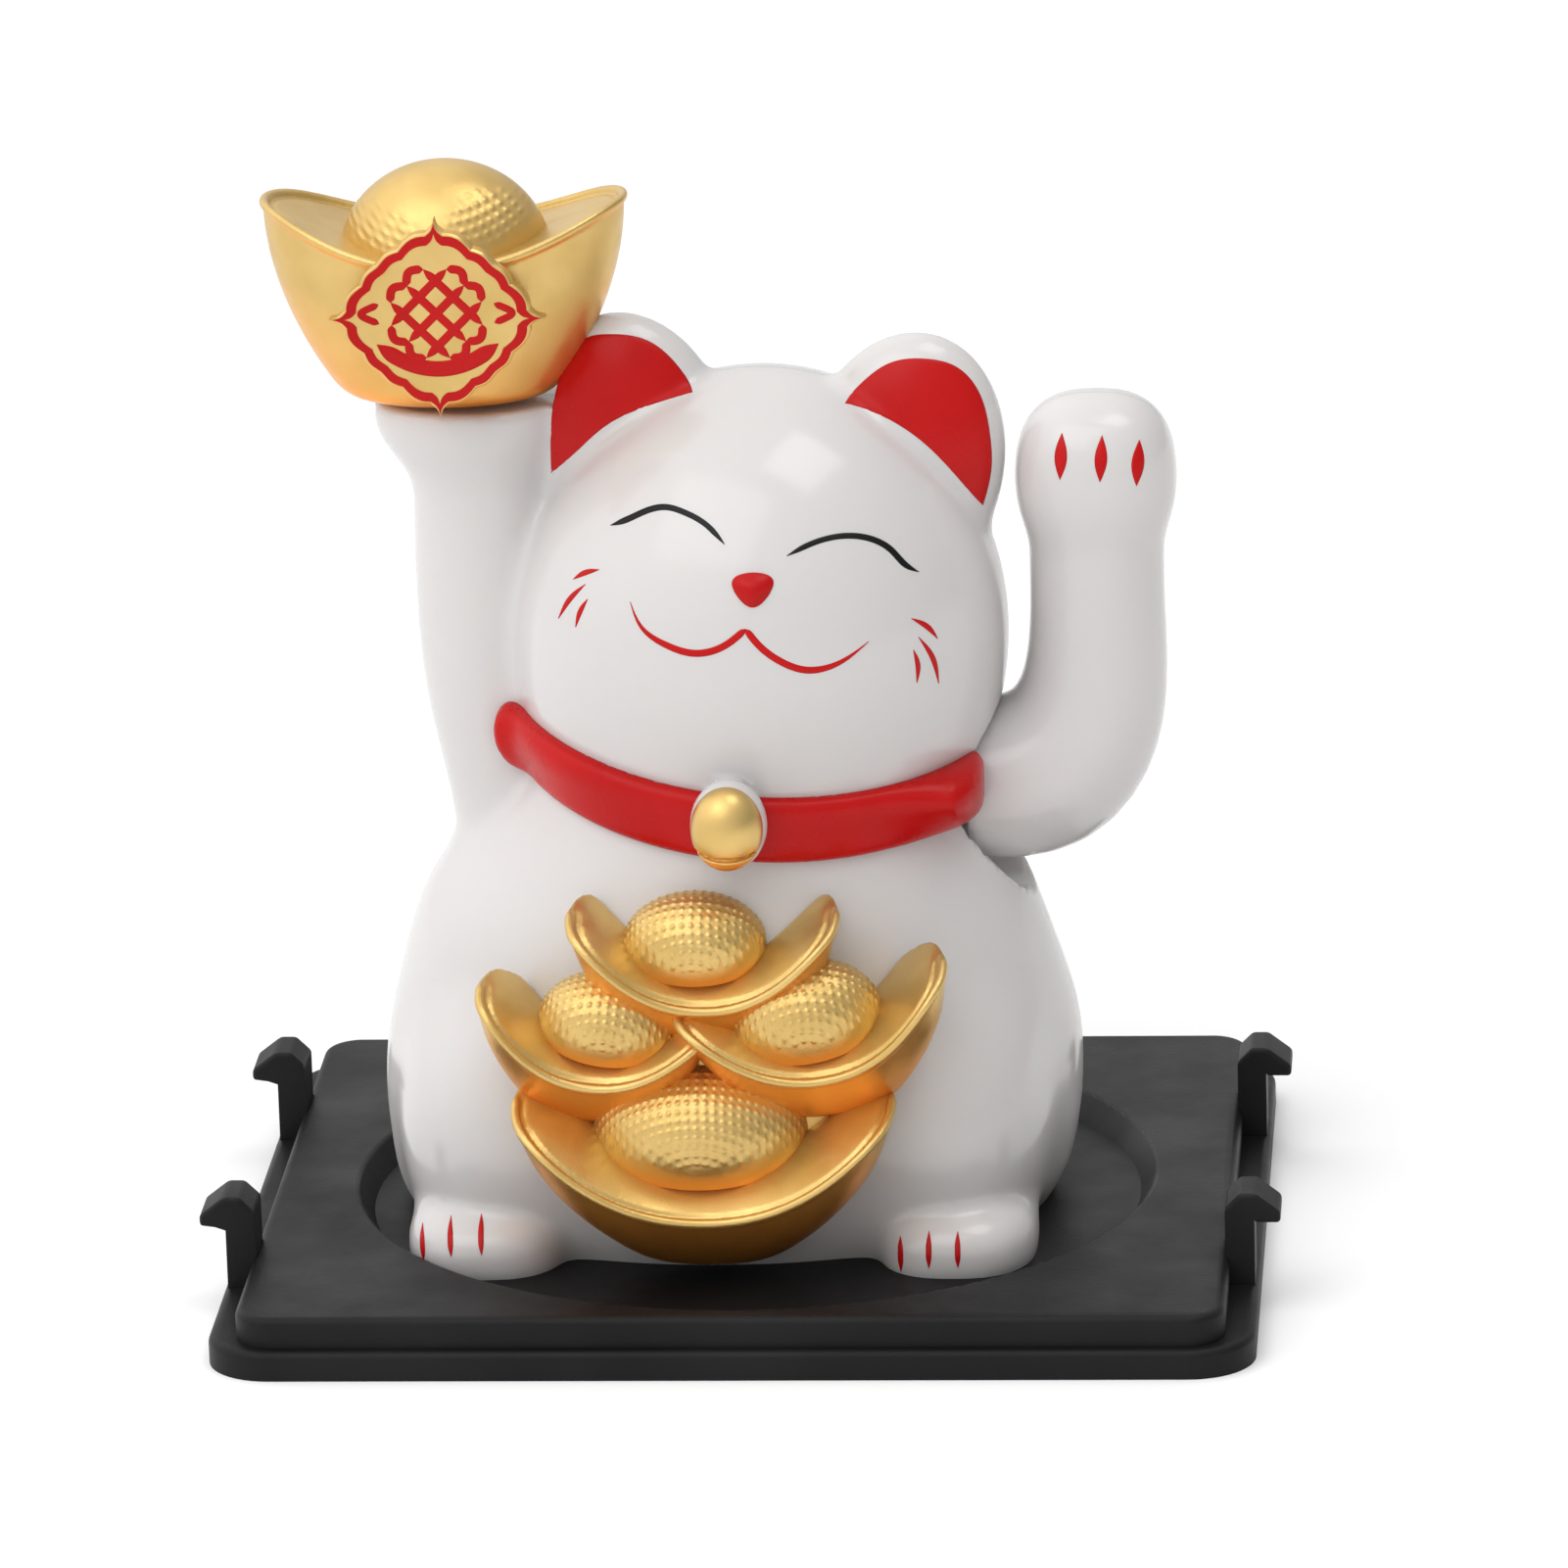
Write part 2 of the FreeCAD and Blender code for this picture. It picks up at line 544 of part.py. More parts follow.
def pivot_bush(side):
    bush = on_pivot(BUSH_RADIUS, yoke_ear_start(side), yoke_ear_start(side) + YOKE_EAR)
    return bush.cut(on_pivot(SHAFT_RADIUS + BUSH_CLEARANCE, -20, 20))


def shaft_clip():
    high_x = WORKS_X - YOKE_HALF_SPAN - 0.15
    clip = on_pivot(CLIP_RADIUS, high_x - CLIP_WIDTH, high_x)
    return clip.cut(on_pivot(SHAFT_RADIUS, -20, 20))


# ---------------------------------------------------------------- bottom cover and electrics
def bottom_cover():
    outline = body_loft(WALL + COVER_GAP)
    top = COVER_BOTTOM + COVER_THICKNESS
    slab = box(V(-BIG, -BIG, COVER_BOTTOM), V(BIG, BACK_FACET_Y - WALL - COVER_GAP, top))
    solid = outline.common(slab)
    standoffs = [rod(STANDOFF_RADIUS, V(p.x, p.y, COVER_BOTTOM), Z_AXIS, BOARD_BOTTOM - COVER_BOTTOM)
                 for p in board_screw_points()]
    solid = solid.multiFuse(standoffs)
    holes = [rod(SCREW_RADIUS + 0.15, V(p.x, p.y, 0), Z_AXIS, 20) for p in cover_screw_points()]
    holes += [rod(SMALL_SCREW_RADIUS, V(p.x, p.y, COVER_BOTTOM + 0.5), Z_AXIS, 20)
              for p in board_screw_points()]
    return solid.cut(fused(holes)).removeSplitter()


def board_screw_points():
    return [V(WORKS_X + side * BOARD_SCREW.x, PIVOT_Y + side * BOARD_SCREW.y, BOARD_BOTTOM)
            for side in (-1, 1)]


def board_top():
    return BOARD_BOTTOM + BOARD_THICKNESS


def circuit_board():
    low = V(WORKS_X - BOARD_HALF_WIDTH, PIVOT_Y - BOARD_HALF_DEPTH, BOARD_BOTTOM)
    board = box(low, V(WORKS_X + BOARD_HALF_WIDTH, PIVOT_Y + BOARD_HALF_DEPTH, board_top()))
    holes = [rod(SMALL_SCREW_RADIUS + 0.15, V(p.x, p.y, 0), Z_AXIS, 20) for p in board_screw_points()]
    return board.cut(fused(holes))


def board_screws():
    top = board_top()
    length = top - COVER_BOTTOM - 0.7
    return Part.makeCompound([
        pan_screw(V(p.x, p.y, top), V(0, 0, -1), SMALL_SCREW_HEAD_RADIUS, SMALL_SCREW_HEAD,
                  SMALL_SCREW_RADIUS - THREAD_BITE, length)
        for p in board_screw_points()])


def coil_bobbin():
    base = V(WORKS_X, PIVOT_Y, board_top())
    core = rod(BOBBIN_CORE_RADIUS, base, Z_AXIS, BOBBIN_HEIGHT)
    flanges = [rod(BOBBIN_RADIUS, base + V(0, 0, z), Z_AXIS, BOBBIN_FLANGE)
               for z in (0, BOBBIN_HEIGHT - BOBBIN_FLANGE)]
    return core.multiFuse(flanges).cut(rod(BOBBIN_BORE, base, Z_AXIS, BOBBIN_HEIGHT)).removeSplitter()


def coil_winding():
    base = V(WORKS_X, PIVOT_Y, board_top() + BOBBIN_FLANGE)
    height = BOBBIN_HEIGHT - 2 * BOBBIN_FLANGE
    return rod(WINDING_RADIUS, base, Z_AXIS, height).cut(rod(BOBBIN_CORE_RADIUS, base, Z_AXIS, height))


def drive_chip():
    blob = ellipsoid(V(WORKS_X - CHIP_OFFSET, PIVOT_Y, board_top()), CHIP_HALF)
    return blob.common(box(V(-BIG, -BIG, board_top()), V(BIG, BIG, BIG)))


def storage_capacitor():
    base = CAPACITOR_OFFSET + V(WORKS_X, PIVOT_Y, board_top())
    can = rod(CAPACITOR_RADIUS, base, Z_AXIS, CAPACITOR_HEIGHT)
    ends = [e for e in can.Edges if e.Length > 1 and e.BoundBox.ZLength < 1e-6]
    return can.makeFillet(0.4, ends)


def cell_back_y():
    return BACK_FACET_Y - WALL - GASKET_THICKNESS - CELL_THICKNESS


def solar_cell():
    return window(CELL_HALF_WIDTH, CELL_HALF_HEIGHT, cell_back_y(), CELL_THICKNESS)


def cell_gasket():
    start = cell_back_y() + CELL_THICKNESS
    frame = window(CELL_HALF_WIDTH, CELL_HALF_HEIGHT, start, GASKET_THICKNESS)
    inside_width = CELL_HALF_WIDTH - WINDOW_MARGIN
    inside_height = CELL_HALF_HEIGHT - WINDOW_MARGIN
    return frame.cut(window(inside_width, inside_height, start, GASKET_THICKNESS))


def solar_lead(side):
    """One wire from the back of the cell down to the board."""
    x = FIGURE_X + side * LEAD_X
    high = V(x, cell_back_y(), 9.6)
    corner = V(x, 8.6, 9.6)
    low = V(x, 8.6, board_top())
    reach = LEAD_BEND * (1 - math.sin(math.radians(45)))
    bend = Part.Arc(corner + V(0, LEAD_BEND, 0), corner + V(0, reach, -reach), corner + V(0, 0, -LEAD_BEND))
    edges = [
        Part.LineSegment(high, corner + V(0, LEAD_BEND, 0)).toShape(),
        bend.toShape(),
        Part.LineSegment(corner + V(0, 0, -LEAD_BEND), low).toShape(),
    ]
    ring = Part.Wire([Part.Circle(high, Y_AXIS, LEAD_RADIUS).toShape()])
    return Part.Wire(edges).makePipeShell([ring], True, False)


def adhesive_pad():
    return rod(PAD_RADIUS, V(FIGURE_X, FIGURE_Y, SEAT_FLOOR), Z_AXIS, COVER_BOTTOM - SEAT_FLOOR)


def cover_screws():
    return Part.makeCompound([
        pan_screw(p, Z_AXIS, SCREW_HEAD_RADIUS, SCREW_HEAD, SCREW_RADIUS - THREAD_BITE, SCREW_LENGTH)
        for p in cover_screw_points()])


def yoke_screws():
    return Part.makeCompound([
        pan_screw(p, Y_AXIS, SMALL_SCREW_HEAD_RADIUS, SMALL_SCREW_HEAD, SMALL_SCREW_RADIUS - THREAD_BITE,
                  YOKE_SCREW_LENGTH)
        for p in yoke_screw_points()])


# ---------------------------------------------------------------- all nodes
def nodes():
    outside = cat_outside()
    shell = cat_shell(outside)
    collar = collar_blank().cut(outside).cut(shaft_hole())
    bell = bell_blank().cut(collar_blank()).cut(outside)
    boat = held_ingot_boat(outside)
    arm = arm_shell()
    return {
        "display_tray": display_tray(),
        "adhesive_pad": adhesive_pad(),
        "bottom_cover": bottom_cover(),
        "cover_screws": cover_screws(),
        "body_front_shell": front_of(shell, PARTING_Y),
        "body_back_shell": back_of(shell, PARTING_Y),
        "collar": collar,
        "bell": bell,
        "lap_ingots": lap_ingots(outside),
        "held_ingot_boat": boat,
        "held_ingot_dome": held_ingot_dome(boat),
        "arm_front_half": front_of(arm, PARTING_Y),
        "arm_back_half": back_of(arm, PARTING_Y),
        "arm_hub": arm_hub(),
        "pivot_shaft": on_pivot(SHAFT_RADIUS, SHAFT_LEFT_X, SHAFT_RIGHT_X),
        "shaft_clip": shaft_clip(),
        "pendulum_lever": pendulum_lever(),
        "pendulum_magnet": pendulum_magnet(),
        "pivot_yoke": yoke(),
        "yoke_screws": yoke_screws(),
        "pivot_bush_left": pivot_bush(-1),
        "pivot_bush_right": pivot_bush(1),
        "circuit_board": circuit_board(),
        "board_screws": board_screws(),
        "coil_bobbin": coil_bobbin(),
        "coil_winding": coil_winding(),
        "drive_chip": drive_chip(),
        "storage_capacitor": storage_capacitor(),
        "solar_cell": solar_cell(),
        "cell_gasket": cell_gasket(),
        "solar_lead_red": solar_lead(-1),
        "solar_lead_black": solar_lead(1),
    }


def main():
    os.makedirs("parts", exist_ok=True)
    for name, shape in nodes().items():
        print(name, len(shape.Solids), "solids, valid", shape.isValid(), "volume", round(shape.Volume, 2))
        shape.exportStep("parts/" + name + ".step")


main()
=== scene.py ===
"""The looks of a small beckoning cat on its display tray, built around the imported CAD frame.

The white casing, waving arm, collar, bell and ingot boats are smooth solids drawn from signed distance
fields. The ingots' domes are turned meshes with raised beads, and all paint lies on the surfaces as thin
closed patches. Shapes are worked out in millimetres in the CAD model's frame and written in metres.
"""

import json
import math

import bmesh
import bpy
import numpy as np
from mathutils import Matrix, Vector


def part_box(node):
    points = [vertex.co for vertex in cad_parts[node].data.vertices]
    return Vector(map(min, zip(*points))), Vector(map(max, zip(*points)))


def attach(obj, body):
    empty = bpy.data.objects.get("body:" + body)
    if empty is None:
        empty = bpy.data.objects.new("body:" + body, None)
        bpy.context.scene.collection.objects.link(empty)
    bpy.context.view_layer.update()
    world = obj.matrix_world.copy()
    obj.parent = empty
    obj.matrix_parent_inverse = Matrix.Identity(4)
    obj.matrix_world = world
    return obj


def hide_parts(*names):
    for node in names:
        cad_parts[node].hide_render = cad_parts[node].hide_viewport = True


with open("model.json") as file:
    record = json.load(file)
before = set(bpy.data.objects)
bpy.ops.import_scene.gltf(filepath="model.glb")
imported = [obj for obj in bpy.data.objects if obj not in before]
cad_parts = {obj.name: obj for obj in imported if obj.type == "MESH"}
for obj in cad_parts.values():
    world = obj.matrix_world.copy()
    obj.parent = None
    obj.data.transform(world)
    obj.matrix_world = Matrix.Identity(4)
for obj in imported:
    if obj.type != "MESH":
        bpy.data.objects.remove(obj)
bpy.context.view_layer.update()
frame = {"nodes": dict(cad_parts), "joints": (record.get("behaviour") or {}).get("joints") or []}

MM = 0.001
FIGURE = "figure_on_tray"
ARM = "waving_arm"
TAU = 2 * math.pi


def cad_box(node):
    """A CAD node's lowest and highest corners in millimetres."""
    low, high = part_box(node)
    return np.array(low) / MM, np.array(high) / MM


# -------- places taken from the frame, in mm
PIVOT = np.array(frame["joints"][0]["pos_m"]) / MM
PARTING_Y = PIVOT[1]
SOLE_Z = cad_box("body_front_shell")[0][2]

# -------- sizes that several shapes share, in mm
# The walls' thickness, half the gap at a parting line, and the grid step of the large shapes.
WALL, ARM_WALL = 1.4, 1.1
SEAM = 0.03
FINE = 0.42
# Points nearer than this are welded. How often points are drawn onto a surface, and edges mended.
WELD = 0.002
PULL_ROUNDS, MEND_ROUNDS = 3, 3


# -------- curves
def smooth_curve(knots, values):
    """A natural cubic spline through values at knots, as a function of an array."""
    x, y = np.asarray(knots, float), np.asarray(values, float)
    n, h = len(x), np.diff(x)
    system, right = np.eye(n), np.zeros((n,) + y.shape[1:])
    for i in range(1, n - 1):
        system[i, i - 1:i + 2] = h[i - 1], 2 * (h[i - 1] + h[i]), h[i]
        right[i] = 6 * ((y[i + 1] - y[i]) / h[i] - (y[i] - y[i - 1]) / h[i - 1])
    bend = np.linalg.solve(system, right)

    def at(t):
        t = np.clip(t, x[0], x[-1])
        i = np.clip(np.searchsorted(x, t) - 1, 0, n - 2)
        width, a, b = h[i], x[i + 1] - t, t - x[i]
        if y.ndim > 1:
            width, a, b = width[:, None], a[:, None], b[:, None]
        return (bend[i] * a ** 3 + bend[i + 1] * b ** 3) / (6 * width) \
            + (y[i] / width - bend[i] * width / 6) * a + (y[i + 1] / width - bend[i + 1] * width / 6) * b

    return at


def curve_through(points, count):
    """count points, evenly spaced by parameter, on a smooth curve through a few points."""
    points = np.asarray(points, float)
    if len(points) == 2:
        return points[0] + np.linspace(0, 1, count)[:, None] * (points[1] - points[0])
    steps = np.linalg.norm(np.diff(points, axis=0), axis=1)
    knots = np.concatenate([[0], np.cumsum(steps)])
    return smooth_curve(knots, points)(np.linspace(0, knots[-1], count))


# -------- signed distance fields
def rotation(roll=0.0, pitch=0.0):
    """Columns are a shape's own axes after a pitch about X and then a roll about Y, in degrees."""
    turn = Matrix.Rotation(math.radians(roll), 3, "Y") @ Matrix.Rotation(math.radians(pitch), 3, "X")
    return np.array(turn)


def ellipsoid(p, centre, half, roll=0.0, pitch=0.0):
    """An ellipsoid from its centre and its three half sizes."""
    q = (p - np.array(centre)) @ rotation(roll, pitch)
    near = np.linalg.norm(q / half, axis=1)
    slope = np.linalg.norm(q / np.square(half), axis=1)
    return near * (near - 1) / np.maximum(slope, 1e-6)


def pebble(p, centre, half, power):
    """An ellipsoid with fuller shoulders: the higher the power, the nearer to a box."""
    q = np.abs(p - np.array(centre)) / half
    near = np.maximum((q ** power).sum(1) ** (1 / power), 1e-3)
    slope = np.linalg.norm(q ** (power - 1) / half, axis=1) * near ** (1 - power)
    return (near - 1) / np.maximum(slope, 1e-3) * np.minimum(near, 1)


def cone_rod(p, start, end, start_radius, end_radius):
    """A rod with round ends whose radius changes evenly along it."""
    start, run = np.array(start, float), np.array(end, float) - np.array(start, float)
    along = np.clip((p - start) @ run / (run @ run), 0, 1)
    away = np.linalg.norm(p - start - along[:, None] * run, axis=1)
    return away - (start_radius + along * (end_radius - start_radius))


def join(a, b, blend):
    """The union of two fields with a fillet of about the size blend."""
    mix = np.clip(0.5 + 0.5 * (b - a) / blend, 0, 1)
    return b * (1 - mix) + a * mix - blend * mix * (1 - mix)


def meet(a, b, blend):
    """The part that two fields share, with its edge rounded by about the size blend."""
    return -join(-a, -b, blend)


def slab(value, low, high):
    """The layer in which a value lies between two limits."""
    return np.maximum(low - value, value - high)


def slope_of(field, p, reach=0.02):
    """The field's slope at each point."""
    parts = []
    for axis in range(3):
        step = np.zeros(3)
        step[axis] = reach
        parts.append((field(p + step) - field(p - step)) / (2 * reach))
    return np.stack(parts, 1)


def unit(v):
    return v / np.maximum(np.linalg.norm(v, axis=-1, keepdims=True), 1e-12)


def drawn_onto(field, p, most):
    """Points moved onto the surface where the field is zero, at most so far at a time."""
    for _ in range(PULL_ROUNDS):
        slope = slope_of(field, p)
        move = slope * (field(p) / np.maximum((slope ** 2).sum(1), 1e-6))[:, None]
        size = np.linalg.norm(move, axis=1, keepdims=True)
        p = p - move * np.minimum(1, most / np.maximum(size, 1e-9))
    return p


def grid_values(field, axes):
    """The field's values at every point of a grid, worked out one plane at a time."""
    planes = []
    for x in axes[0]:
        points = np.stack(np.meshgrid([x], axes[1], axes[2], indexing="ij"), -1)
        planes.append(field(points.reshape(-1, 3)))
    return np.concatenate(planes).reshape([len(axis) for axis in axes])


def cell_points(values):
    """For each grid cell, the sum of the points where its edges cross the surface, and their number."""
    inside = values < 0
    cells = tuple(n - 1 for n in values.shape)
    total, hits = np.zeros(cells + (3,)), np.zeros(cells)

    def corner(grid, offset):
        return grid[tuple(slice(o, o + c) for o, c in zip(offset, cells))]

    for axis in range(3):
        for across in ((0, 0), (0, 1), (1, 0), (1, 1)):
            start, end = list(across), list(across)
            start.insert(axis, 0)
            end.insert(axis, 1)
            a, b = corner(values, start), corner(values, end)
            cross = corner(inside, start) != corner(inside, end)
            point = np.zeros(cells + (3,)) + np.array(start, float)
            point[..., axis] = np.where(cross, a / np.where(cross, a - b, 1), 0)
            total += point * cross[..., None]
            hits += cross
    return total, hits


def cell_quads(inside, index):
    """One quad round each grid edge that crosses the surface, facing outwards."""
    quads = []
    for axis in range(3):
        e, f = (axis + 1) % 3, (axis + 2) % 3
        first = [slice(1, -1)] * 3
        first[axis] = slice(0, -1)
        second = list(first)
        second[axis] = slice(1, None)
        at = np.argwhere(inside[tuple(first)] != inside[tuple(second)])
        outwards = inside[tuple(first)][tuple(at.T)]
        at[:, e] += 1
        at[:, f] += 1
        ring = []
        for step_e, step_f in ((-1, -1), (0, -1), (0, 0), (-1, 0)):
            cell = at.copy()
            cell[:, e] += step_e
            cell[:, f] += step_f
            ring.append(index[tuple(cell.T)])
        quad = np.stack(ring, 1)
        quad[~outwards] = quad[~outwards][:, ::-1]
        quads.append(quad)
    return np.concatenate(quads)


def surface_net(field, low, high, step):
    """Vertices and quads of the closed surface where the field crosses zero inside a box."""
    axes = [a + step * np.arange(int(math.ceil((b - a) / step)) + 1) for a, b in zip(low, high)]
    values = grid_values(field, axes)
    total, hits = cell_points(values)
    active = hits > 0
    index = np.full(active.shape, -1)
    index[active] = np.arange(active.sum())
    verts = np.array(low) + step * (np.argwhere(active) + total[active] / hits[active][:, None])
    return drawn_onto(field, verts, 0.5 * step), cell_quads(values < 0, index)


# -------- meshes
def mesh_object(name, verts, faces, material):
    """A mesh object from vertices in millimetres."""
    mesh = bpy.data.meshes.new(name)
    mesh.from_pydata((np.asarray(verts) * MM).tolist(), [], [list(map(int, f)) for f in faces])
    mesh.validate()
    obj = bpy.data.objects.new(name, mesh)
    bpy.context.scene.collection.objects.link(obj)
    mesh.materials.append(material)
    mesh.shade_smooth()
    return obj


def edit(obj, change):
    """Runs a change on an object's mesh."""
    work = bmesh.new()
    work.from_mesh(obj.data)
    change(work)
    work.to_mesh(obj.data)
    work.free()
    obj.data.update()


def outward(obj):
    """Turns all faces of a closed mesh outwards."""
    edit(obj, lambda work: bmesh.ops.recalc_face_normals(work, faces=work.faces))
    return obj


def net_object(name, verts, faces, material):
    """A mesh object from a surface net, with touching points welded and pinched edges closed up."""
    obj = mesh_object(name, verts, faces, material)

    def mend(work):
        bmesh.ops.remove_doubles(work, verts=work.verts, dist=WELD * MM)
        for _ in range(MEND_ROUNDS):
            pinched = [edge for edge in work.edges if len(edge.link_faces) != 2]
            bmesh.ops.collapse(work, edges=pinched)

    edit(obj, mend)
    return obj


def cut_flat(obj, at, keep):
    """Cuts a mesh by the plane through at, keeps the side that keep points to, and closes the cut."""
    at, keep = Vector(at) * MM, Vector(keep)

    def change(work):
        parts = work.verts[:] + work.edges[:] + work.faces[:]
        made = bmesh.ops.bisect_plane(work, geom=parts, dist=1e-8, plane_co=at, plane_no=keep,
                                      clear_inner=True)
        rim = [e for e in made["geom_cut"] if isinstance(e, bmesh.types.BMEdge)]
        capped = bmesh.ops.triangle_fill(work, edges=rim, use_beauty=True, normal=-keep)
        for face in capped["geom"]:
            if isinstance(face, bmesh.types.BMFace):
                face.smooth = False
        for edge in rim:
            if edge.is_valid:
                edge.smooth = False

    edit(obj, change)


def hand_over(piece, body, slot, *nodes):
    """Gives a piece to its body in place of the CAD nodes that it stands for, which are hidden; slot is not
    used.
    """
    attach(piece, body)
    if nodes:
        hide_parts(*nodes)
    return piece


def build_solid(name, field, box, step, material, slot, *nodes):
    """A smooth solid piece of the figure, drawn from its field."""
    verts, quads = surface_net(field, *box, step)
    hand_over(outward(net_object(name, verts, quads, material)), FIGURE, slot, *nodes)


def band_faces(count, length, bands):
    """Quads between neighbouring rings; with as many bands as rings, the last meets the first ring."""
    faces = []
    for i in range(bands):
        n = (i + 1) % count
        for j in range(length):
            k = (j + 1) % length
            faces.append((i * length + j, i * length + k, n * length + k, n * length + j))
    return faces


def lofted(name, rings, material):
    """A closed solid through rings of equal length, with a fan over the first and the last ring."""
    rings = np.asarray(rings, float)
    count, length = rings.shape[:2]
    verts = np.concatenate([rings.reshape(-1, 3), [rings[0].mean(0), rings[-1].mean(0)]])
    faces = band_faces(count, length, count - 1)
    bottom, top = count * length, count * length + 1
    for j in range(length):
        k = (j + 1) % length
        faces.append((bottom, k, j))
        faces.append((top, (count - 1) * length + j, (count - 1) * length + k))
    return outward(mesh_object(name, verts, faces, material))


# -------- materials
def node_material(name, colour, roughness, metallic=0.0, **sockets):
    """A principled material with plain values; other sockets go by name, with _ for each space."""
    material = bpy.data.materials.new(name)
    material.use_nodes = True
    shader = material.node_tree.nodes["Principled BSDF"]
    shader.inputs["Base Color"].default_value = (*colour, 1)
    shader.inputs["Roughness"].default_value = roughness
    shader.inputs["Metallic"].default_value = metallic
    for socket, value in sockets.items():
        shader.inputs[socket.replace("_", " ")].default_value = value
    return material


def add(material, kind, **inputs):
    """A new node in a material or a world, with some of its sockets set."""
    node = material.node_tree.nodes.new(kind)
    for socket, value in inputs.items():
        node.inputs[socket.replace("_", " ")].default_value = value
    return node


def wire(material, source, output, target, socket):
    """Links one node's output to another node's socket."""
    material.node_tree.links.new(source.outputs[output], target.inputs[socket])


def place_noise(material, scale, detail):
    """Noise in the object's own space; scale is in features per metre."""
    place = add(material, "ShaderNodeTexCoord")
    noise = add(material, "ShaderNodeTexNoise", Scale=scale, Detail=detail)
    wire(material, place, "Object", noise, "Vector")
    return noise


def varied(material, scale, low_colour, high_colour, low_rough, high_rough, bump, bump_scale):
    """Links soft colour and roughness variation and a fine bump into a material."""
    shader = material.node_tree.nodes["Principled BSDF"]
    tint = add(material, "ShaderNodeValToRGB")
    for stop, place, colour in zip(tint.color_ramp.elements, (0.35, 0.65), (low_colour, high_colour)):
        stop.position, stop.color = place, (*colour, 1)
    wire(material, place_noise(material, scale, 2.0), "Fac", tint, "Fac")
    wire(material, tint, "Color", shader, "Base Color")
    rough = add(material, "ShaderNodeMapRange", From_Min=0.3, From_Max=0.7,
                To_Min=low_rough, To_Max=high_rough)
    wire(material, place_noise(material, scale * 3, 4.0), "Fac", rough, "Value")
    wire(material, rough, "Result", shader, "Roughness")
    relief = add(material, "ShaderNodeBump", Distance=bump)
    wire(material, place_noise(material, bump_scale, 3.0), "Fac", relief, "Height")
    wire(material, relief, "Normal", shader, "Normal")
    return material


def white_plastic():
    """Glossy moulded plastic that lets a little light in."""
    made = node_material("white_plastic", (0.58, 0.56, 0.55), 0.2, IOR=1.48, Coat_Weight=0.2,
                         Coat_Roughness=0.06, Subsurface_Weight=0.1, Subsurface_Scale=0.002)
    return varied(made, 40, (0.572, 0.551, 0.545), (0.597, 0.577, 0.570), 0.16, 0.24, 4e-6, 900)


def red_paint():
    """Brushed on paint, satin, with slight unevenness."""
    made = node_material("red_paint", (0.44, 0.005, 0.005), 0.28, IOR=1.4, Specular_IOR_Level=0.22)
    return varied(made, 120, (0.42, 0.004, 0.004), (0.48, 0.007, 0.007), 0.24, 0.34, 5e-6, 2500)


def black_line():
    """The fine line of the eyes."""
    made = node_material("black_line", (0.006, 0.006, 0.007), 0.4, IOR=1.4, Specular_IOR_Level=0.3)
    return varied(made, 300, (0.004, 0.004, 0.005), (0.010, 0.009, 0.010), 0.35, 0.45, 3e-6, 3000)


def gold_paint():
    """Metallic paint: satin, with fine sparkle, and a deeper orange painted where the surface faces down as
    painted shade and painted reflection.
    """
    made = node_material("gold_paint", (0.645, 0.44, 0.15), 0.34, 0.8, IOR=1.5)
    varied(made, 300, (0.61, 0.41, 0.135), (0.68, 0.47, 0.17), 0.28, 0.40, 1.2e-5, 9000)
    shader = made.node_tree.nodes["Principled BSDF"]
    tint = shader.inputs["Base Color"].links[0].from_node
    # Painted shade and painted reflection: surfaces whose normal points down are mixed towards a deeper
    # orange.
    split = add(made, "ShaderNodeSeparateXYZ")
    wire(made, add(made, "ShaderNodeNewGeometry"), "Normal", split, "Vector")
    share = add(made, "ShaderNodeMapRange", From_Min=-0.65, From_Max=-0.2, To_Min=1.0, To_Max=0.0)
    wire(made, split, "Z", share, "Value")
    deep = add(made, "ShaderNodeMixRGB", Color2=(0.92, 0.37, 0.065, 1))
    wire(made, share, "Result", deep, "Fac")
    wire(made, tint, "Color", deep, "Color1")
    wire(made, deep, "Color", shader, "Base Color")
    return made


def black_tray():
    """Injection moulded plastic with a fine matt grain."""
    made = node_material("black_tray", (0.006, 0.006, 0.007), 0.5, IOR=1.4, Specular_IOR_Level=0.28)
    return varied(made, 60, (0.004, 0.004, 0.005), (0.009, 0.009, 0.010), 0.42, 0.56, 1.5e-5, 5000)


def plain(name, colour, roughness, metallic=0.0, bump=5e-6, scale=400):
    """The plainer finish of a piece inside the figure."""
    made = node_material(name, colour, roughness, metallic)
    dark = tuple(0.86 * c for c in colour)
    return varied(made, scale, dark, colour, roughness * 0.85, min(1.0, roughness * 1.15), bump, scale * 10)


WHITE, RED, BLACK, GOLD, TRAY = white_plastic(), red_paint(), black_line(), gold_paint(), black_tray()

# -------- the cat's white casing
# (height, middle x, half width, half depth) of the body's cross-sections.
BODY_SECTIONS = np.array([
    (1.0, -1.7, 19.2, 13.2), (3.2, -1.6, 20.6, 14.6), (6.5, -1.4, 21.5, 15.9),
    (10.5, -1.3, 21.8, 16.5), (14.5, -1.2, 21.4, 16.4), (18.5, -1.3, 20.3, 15.9),
    (22.5, -1.3, 18.9, 15.1), (26.0, -0.9, 16.9, 14.1), (29.5, -0.3, 14.4, 13.0),
    (33.0, 0.3, 12.6, 11.8), (38.0, 0.8, 9.5, 9.0),
])
body_section = smooth_curve(BODY_SECTIONS[:, 0], BODY_SECTIONS[:, 1:])
BACK_FACET_Y = 15.4
HEAD_CENTRE, HEAD_HALF, HEAD_ROLL = (1.2, 0.3, 38.7), (15.3, 14.0, 16.9), 6.0
EAR_HALF = (6.2, 3.4, 8.6)
EARS = (((-6.3, 0.6, 50.6), -10.0), ((10.2, 0.6, 49.2), 14.0))
